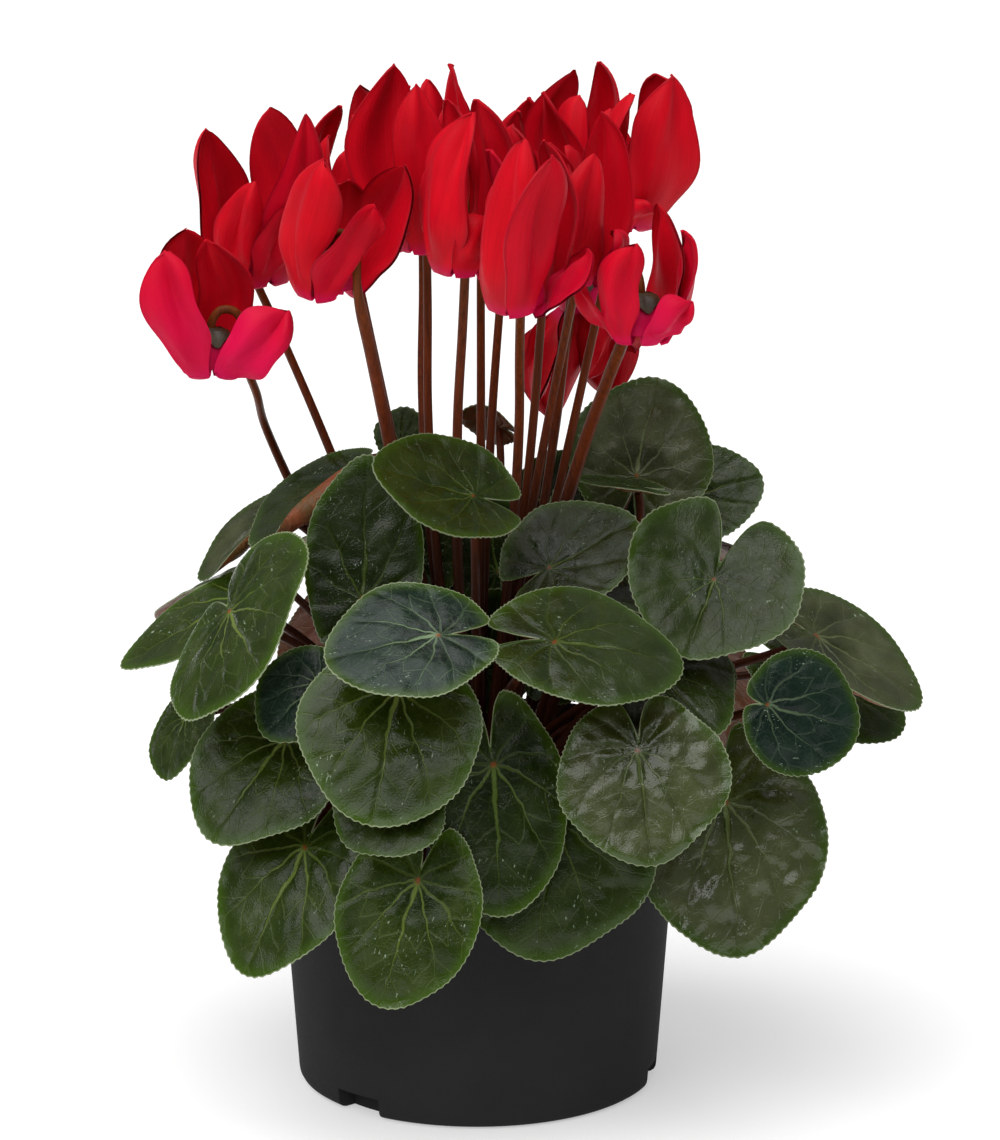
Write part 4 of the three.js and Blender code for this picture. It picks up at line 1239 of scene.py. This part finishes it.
@dataclass
class Corolla:
    """One flower: tube with its mouth down, cone of anthers with the style, five swept-back petals."""

    number: int
    plan: FlowerPlan
    mouth: float = 6
    roots: tuple[float, ...] = (62, 121, 180, 239, 298)
    fullness: float = 1.12
    steps: int = 34
    across: int = 18
    depth: float = 0.62
    lip_share: float = 0.12

    def petal(self, azimuth: float, shape: Petal, blush: float, seed: int) -> bmesh.types.BMesh:
        """One petal from inside the tube's lip, round its bend, to the tip.

        Args:
            azimuth: of its root, in degrees.
            shape: tip beside the mouth, width and roll.
            blush: how pink it is, from 0 to 1.
            seed: fixes its small waves.

        Returns:
            The petal as a thin closed body.
        """
        x, y, z, width, roll = shape
        draw = seeded(seed)
        phase = math.pi * draw()
        sway, shade, lean, fold, blunt = (draw() for _ in range(5))
        form = PetalForm(self.fullness * width / 2, phase, sway, lean, fold, blunt)
        out = Vector((math.cos(math.radians(azimuth)), math.sin(math.radians(azimuth)), 0))
        tip = Vector((x, y, z))
        rise = math.copysign(1, z)

        def at(r: float, h: float) -> Vector:
            """A point in the petal's own upright plane."""
            return out * r + Vector((0, 0, h))
        bend = at(self.mouth + 1.1, -1.2)
        knee = at(self.mouth + 3.6, 3.6 if rise > 0 else -5)
        tail = tip.lerp(knee, 0.42) + out * 3
        root = at(self.mouth - 0.7, 2.2)
        lip = (root, root + at(0.2, -2.4), bend - (knee - bend) * 0.4, bend)
        free = (bend, knee, tail, tip)
        bent = self.lip_share

        def spine(s: float) -> Vector:
            """The petal's middle line at s, from 0 to 1."""
            if s < bent:
                return bezier(lip, s / bent)
            return bezier(free, (s - bent) / (1 - bent))
        bm = bmesh.new()
        blush_of, shade_of = bm.verts.layers.float.new("blush"), bm.verts.layers.float.new("shade")
        uv_of = bm.loops.layers.uv.new("petal")
        bmesh.ops.create_grid(bm, x_segments=self.steps, y_segments=self.across, size=0.5)
        base = Vector((0, 0, 1)).cross(out).normalized()
        place = Vector(self.plan.mouth)
        flat = {}
        for vert in bm.verts:
            s, q = vert.co.x + 0.5, vert.co.y * 2
            t = (s - bent) / (1 - bent)
            along = (spine(min(s + 0.01, 1)) - spine(max(s - 0.01, 0))).normalized()
            wide = (base - along * base.dot(along)).normalized()
            turn = math.radians(roll) * (0.5 + 0.5 * smooth(0, 0.42, t)) * smooth(-0.14, 0.02, t) * rise
            turn += 0.06 * sway * smooth(0.3, 1, t)
            wide = Matrix.Rotation(turn, 3, along) @ wide
            thick = along.cross(wide)
            half = form.half(t, q)
            spot = spine(s) + wide * (half * q + form.drift(t)) + thick * form.lift(t, q, half)
            vert.co = (place + spot) * MM
            vert[blush_of], vert[shade_of] = blush * (1 - 0.6 * smooth(0.4, 0.95, t)), shade
            flat[vert] = (s, (q + 1) / 2)
        unfold(bm, uv_of, flat)
        bmesh.ops.remove_doubles(bm, verts=bm.verts[:], dist=1e-6)
        thicken(bm, lambda v: self.depth * MM, 0)
        return bm

    def tube(self) -> bmesh.types.BMesh:
        """The short globe-shaped tube, open below."""
        outer = [(5.5, 0.2), (6.2, 0.1), (6.5, 1.4), (6.4, 3.4), (5.9, 5.6), (4.8, 7.3), (3.2, 8.3),
                 (0, 8.7)]
        inner = [(0, 7.9), (2.8, 7.5), (4.2, 6.6), (5.1, 5.2), (5.6, 3.2), (5.7, 1.4)]
        return spun([*outer, *inner, (5.5, 0.2)], 40)

    def cone(self) -> bmesh.types.BMesh:
        """Anthers pressed into a cone, with the style at its end."""
        bm = spun([(0, 7.9), (2.6, 7.9), (2.4, 6.0), (1.7, 3.2), (0.9, 1.0), (0.45, 0.4), (0.3, -0.6),
                   (0.38, -0.9), (0, -1.0)], 20)
        for vert in bm.verts:
            turn = math.atan2(vert.co.y, vert.co.x)
            if vert.co.z > 0.8 * MM:
                vert.co.xy *= 1 + 0.12 * math.cos(5 * turn)
        return bm

    def build(self, satin: bpy.types.Material, anther: bpy.types.Material) -> bpy.types.Object:
        """The flower as a piece that stands for its node.

        Args:
            satin: finish of the petals and the tube.
            anther: finish of the cone.

        Returns:
            The piece.
        """
        whole = bmesh.new()
        move = Matrix.Translation(Vector(self.plan.mouth) * MM)
        for bm, finish in ((self.tube(), 0), (self.cone(), 1)):
            bmesh.ops.transform(bm, matrix=move, verts=bm.verts[:])
            for face in bm.faces:
                face.material_index = finish
            self.join(whole, bm)
        for i, shape in enumerate(self.plan.petals):
            azimuth = self.plan.gap + self.roots[i]
            seed = PETAL_SEED + 7 * self.number + i
            self.join(whole, self.petal(azimuth, shape, self.plan.blush[i], seed))
        node = f"flower_{self.number:02d}"
        return piece_from(whole, f"corolla_{self.number:02d}", [satin, anther], [node])

    @staticmethod
    def join(whole: bmesh.types.BMesh, bm: bmesh.types.BMesh) -> None:
        """Adds bm to whole and frees it."""
        passing = bpy.data.meshes.new("passing")
        bm.to_mesh(passing)
        bm.free()
        whole.from_mesh(passing)
        bpy.data.meshes.remove(passing)


# ---- studio --------------------------------------------------------------------------------
@dataclass
class Studio:
    """Pale floor, soft lights and the camera at the photograph's angle."""

    camera_place: Triple = (0.0064, -1.5, 0.522)
    pitch: float = 13.98
    lens: float = 172.9
    zenith: float = 0.56
    horizon: float = 0.12
    floor_glow: float = 0.44
    floor_pale: tuple[float, float] = (0.61, 0.63)
    floor_half: float = 4.0
    floor_drop: float = 0.0002
    aim: Triple = (0, 0, 0.16)
    sun_way: Triple = (0.2, 0.45, -1.0)
    sun_energy: float = 2.6
    sun_width: float = 70
    sensor: float = 36
    far: float = 50

    def floor(self) -> None:
        """A wide pale floor."""
        g = Graph("pale_floor", 0.9, 0.1)
        cloud = g.noise(g.place(), 3.0, 2.0)
        g.colour(g.mix(cloud, *((pale, pale, pale) for pale in self.floor_pale)))
        g.feed(g.shader.inputs["Emission Color"], (1.0, 1.0, 1.0))
        g.feed(g.shader.inputs["Emission Strength"], self.floor_glow)
        bm = bmesh.new()
        bmesh.ops.create_grid(bm, x_segments=8, y_segments=8, size=self.floor_half)
        bmesh.ops.translate(bm, verts=bm.verts[:], vec=(0, 0, -self.floor_drop))
        mesh = mesh_of(bm, "floor")
        mesh.materials.append(g.material)
        placed("floor", mesh)

    @staticmethod
    def aimed(lamp: bpy.types.Object, way: Vector) -> None:
        """Turns a light so that it shines along a way."""
        lamp.rotation_mode = "QUATERNION"
        lamp.rotation_quaternion = way.to_track_quat("-Z", "Y")

    def lamp(self, name: str, place: Triple, size: float, watts: float) -> None:
        """A square soft light aimed at the plant's middle."""
        data = bpy.data.lights.new(name, "AREA")
        data.shape, data.size, data.energy = "SQUARE", size, watts
        lamp = placed(name, data)
        lamp.location = place
        self.aimed(lamp, Vector(self.aim) - Vector(place))

    def sun(self) -> None:
        """A wide even light from above the front left, the same all over the floor."""
        data = bpy.data.lights.new("even", "SUN")
        data.energy, data.angle = self.sun_energy, math.radians(self.sun_width)
        self.aimed(placed("even", data), Vector(self.sun_way))

    def sky(self) -> bpy.types.World:
        """A white sky, bright overhead and dimmer near the floor."""
        world = bpy.data.worlds.new("studio")
        world.use_nodes = True
        tree = world.node_tree
        way, split, ramp = (tree.nodes.new("ShaderNode" + kind)
                            for kind in ("TexCoord", "SeparateXYZ", "MapRange"))
        for name, value in (("From Min", 0.15), ("From Max", 0.95), ("To Min", self.horizon),
                            ("To Max", self.zenith)):
            ramp.inputs[name].default_value = value
        tree.links.new(way.outputs["Generated"], split.inputs[0])
        tree.links.new(split.outputs[2], ramp.inputs["Value"])
        tree.links.new(ramp.outputs[0], tree.nodes["Background"].inputs[1])
        tree.nodes["Background"].inputs[0].default_value = (1, 1, 1, 1)
        return world

    def build(self) -> None:
        """Floor, sky, lights and camera."""
        scene = bpy.context.scene
        scene.view_settings.view_transform = "Standard"
        scene.world = self.sky()
        self.floor()
        self.sun()
        self.lamp("overhead", (-0.2, -0.1, 1.3), 0.9, 3)
        self.lamp("front_left", (-1.1, -1.1, 0.9), 0.7, 2)
        camera = placed("camera", bpy.data.cameras.new("camera"))
        camera.location = self.camera_place
        camera.rotation_euler = (math.radians(90 - self.pitch), 0, 0)
        camera.data.lens, camera.data.sensor_width, camera.data.clip_end = self.lens, self.sensor, self.far
        scene.camera = camera


# Tone; deep and light skin; silver skin, partly painted sheen; how strong the silver belt with its painted
# sheen is; vein; roughness; specular level.
LEAF_FINISHES = (
    LeafFinish(Tone.GREEN, srgb(18, 32, 2), srgb(36, 52, 5), srgb(56, 68, 26), 0.4,
               srgb(100, 118, 50), 0.2, 0.22),
    LeafFinish(Tone.BLUE, srgb(8, 23, 18), srgb(17, 34, 25), srgb(34, 54, 42), 0.45,
               srgb(112, 134, 98), 0.22, 0.18),
    # The grey tone's lighter colours are partly painted sheen.
    LeafFinish(Tone.GREY_SHEEN, srgb(32, 38, 12), srgb(56, 64, 24), srgb(86, 92, 62), 0.6,
               srgb(118, 130, 84), 0.22, 0.34),
    LeafFinish(Tone.DARK, srgb(13, 25, 2), srgb(29, 43, 6), srgb(46, 56, 28), 0.35,
               srgb(84, 104, 44), 0.2, 0.24),
    LeafFinish(Tone.GLOSSY, srgb(30, 40, 8), srgb(54, 64, 18), srgb(84, 90, 58), 0.55,
               srgb(108, 124, 68), 0.16, 0.45),
)

# Name; two colours; roughness; scales of the blotches and the grain; bump in metres; specular level.
POT_PLASTIC = PlainSkin("pot_plastic", srgb(43, 43, 43), srgb(39, 39, 39), 0.75, 30, 1500, 0.00006, 0.06)
COMPOST_SOIL = PlainSkin("compost_soil", srgb(52, 36, 26), srgb(30, 20, 14), 0.95, 120, 900, 0.0008, 0.2)
BARK_CRUMB = PlainSkin("bark_crumb", srgb(86, 58, 38), srgb(40, 27, 18), 0.9, 260, 1400, 0.0004, 0.2)
TUBER_CORK = PlainSkin("tuber_cork", srgb(96, 66, 44), srgb(58, 38, 26), 0.85, 90, 700, 0.0006, 0.25)
SEPAL_SKIN = PlainSkin("sepal_skin", srgb(58, 50, 28), srgb(44, 26, 16), 0.5, 220, 1200, 0.0002, 0.35)
ANTHER_SKIN = PlainSkin("anther_skin", srgb(120, 40, 50), srgb(160, 110, 50), 0.5, 400, 1500, 0.0002, 0.3)


def main() -> None:
    """Builds every piece in order."""
    logging.basicConfig(level=logging.INFO, format="%(message)s")
    Pot().build(POT_PLASTIC.material())
    Compost().build(COMPOST_SOIL.material(), BARK_CRUMB.material())
    Crown().build(StalkFinish().material(), TUBER_CORK.material(), SEPAL_SKIN.material())
    tops = {finish.tone: finish.material() for finish in LEAF_FINISHES}
    underside = UndersideFinish().material()
    for number, plan in enumerate(LEAVES, 1):
        LeafBlade(number, plan).build(tops[plan.tone], underside)
    for number, plan in enumerate(YOUNG, len(LEAVES) + 1):
        LeafBlade(number, plan, "crown", 9).build(tops[plan.tone], underside)
    satin, anther = PetalFinish().material(), ANTHER_SKIN.material()
    for number, plan in enumerate(FLOWERS, 1):
        Corolla(number, plan).build(satin, anther)
    Studio().build()
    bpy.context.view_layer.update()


if __name__ == "__main__":
    main()
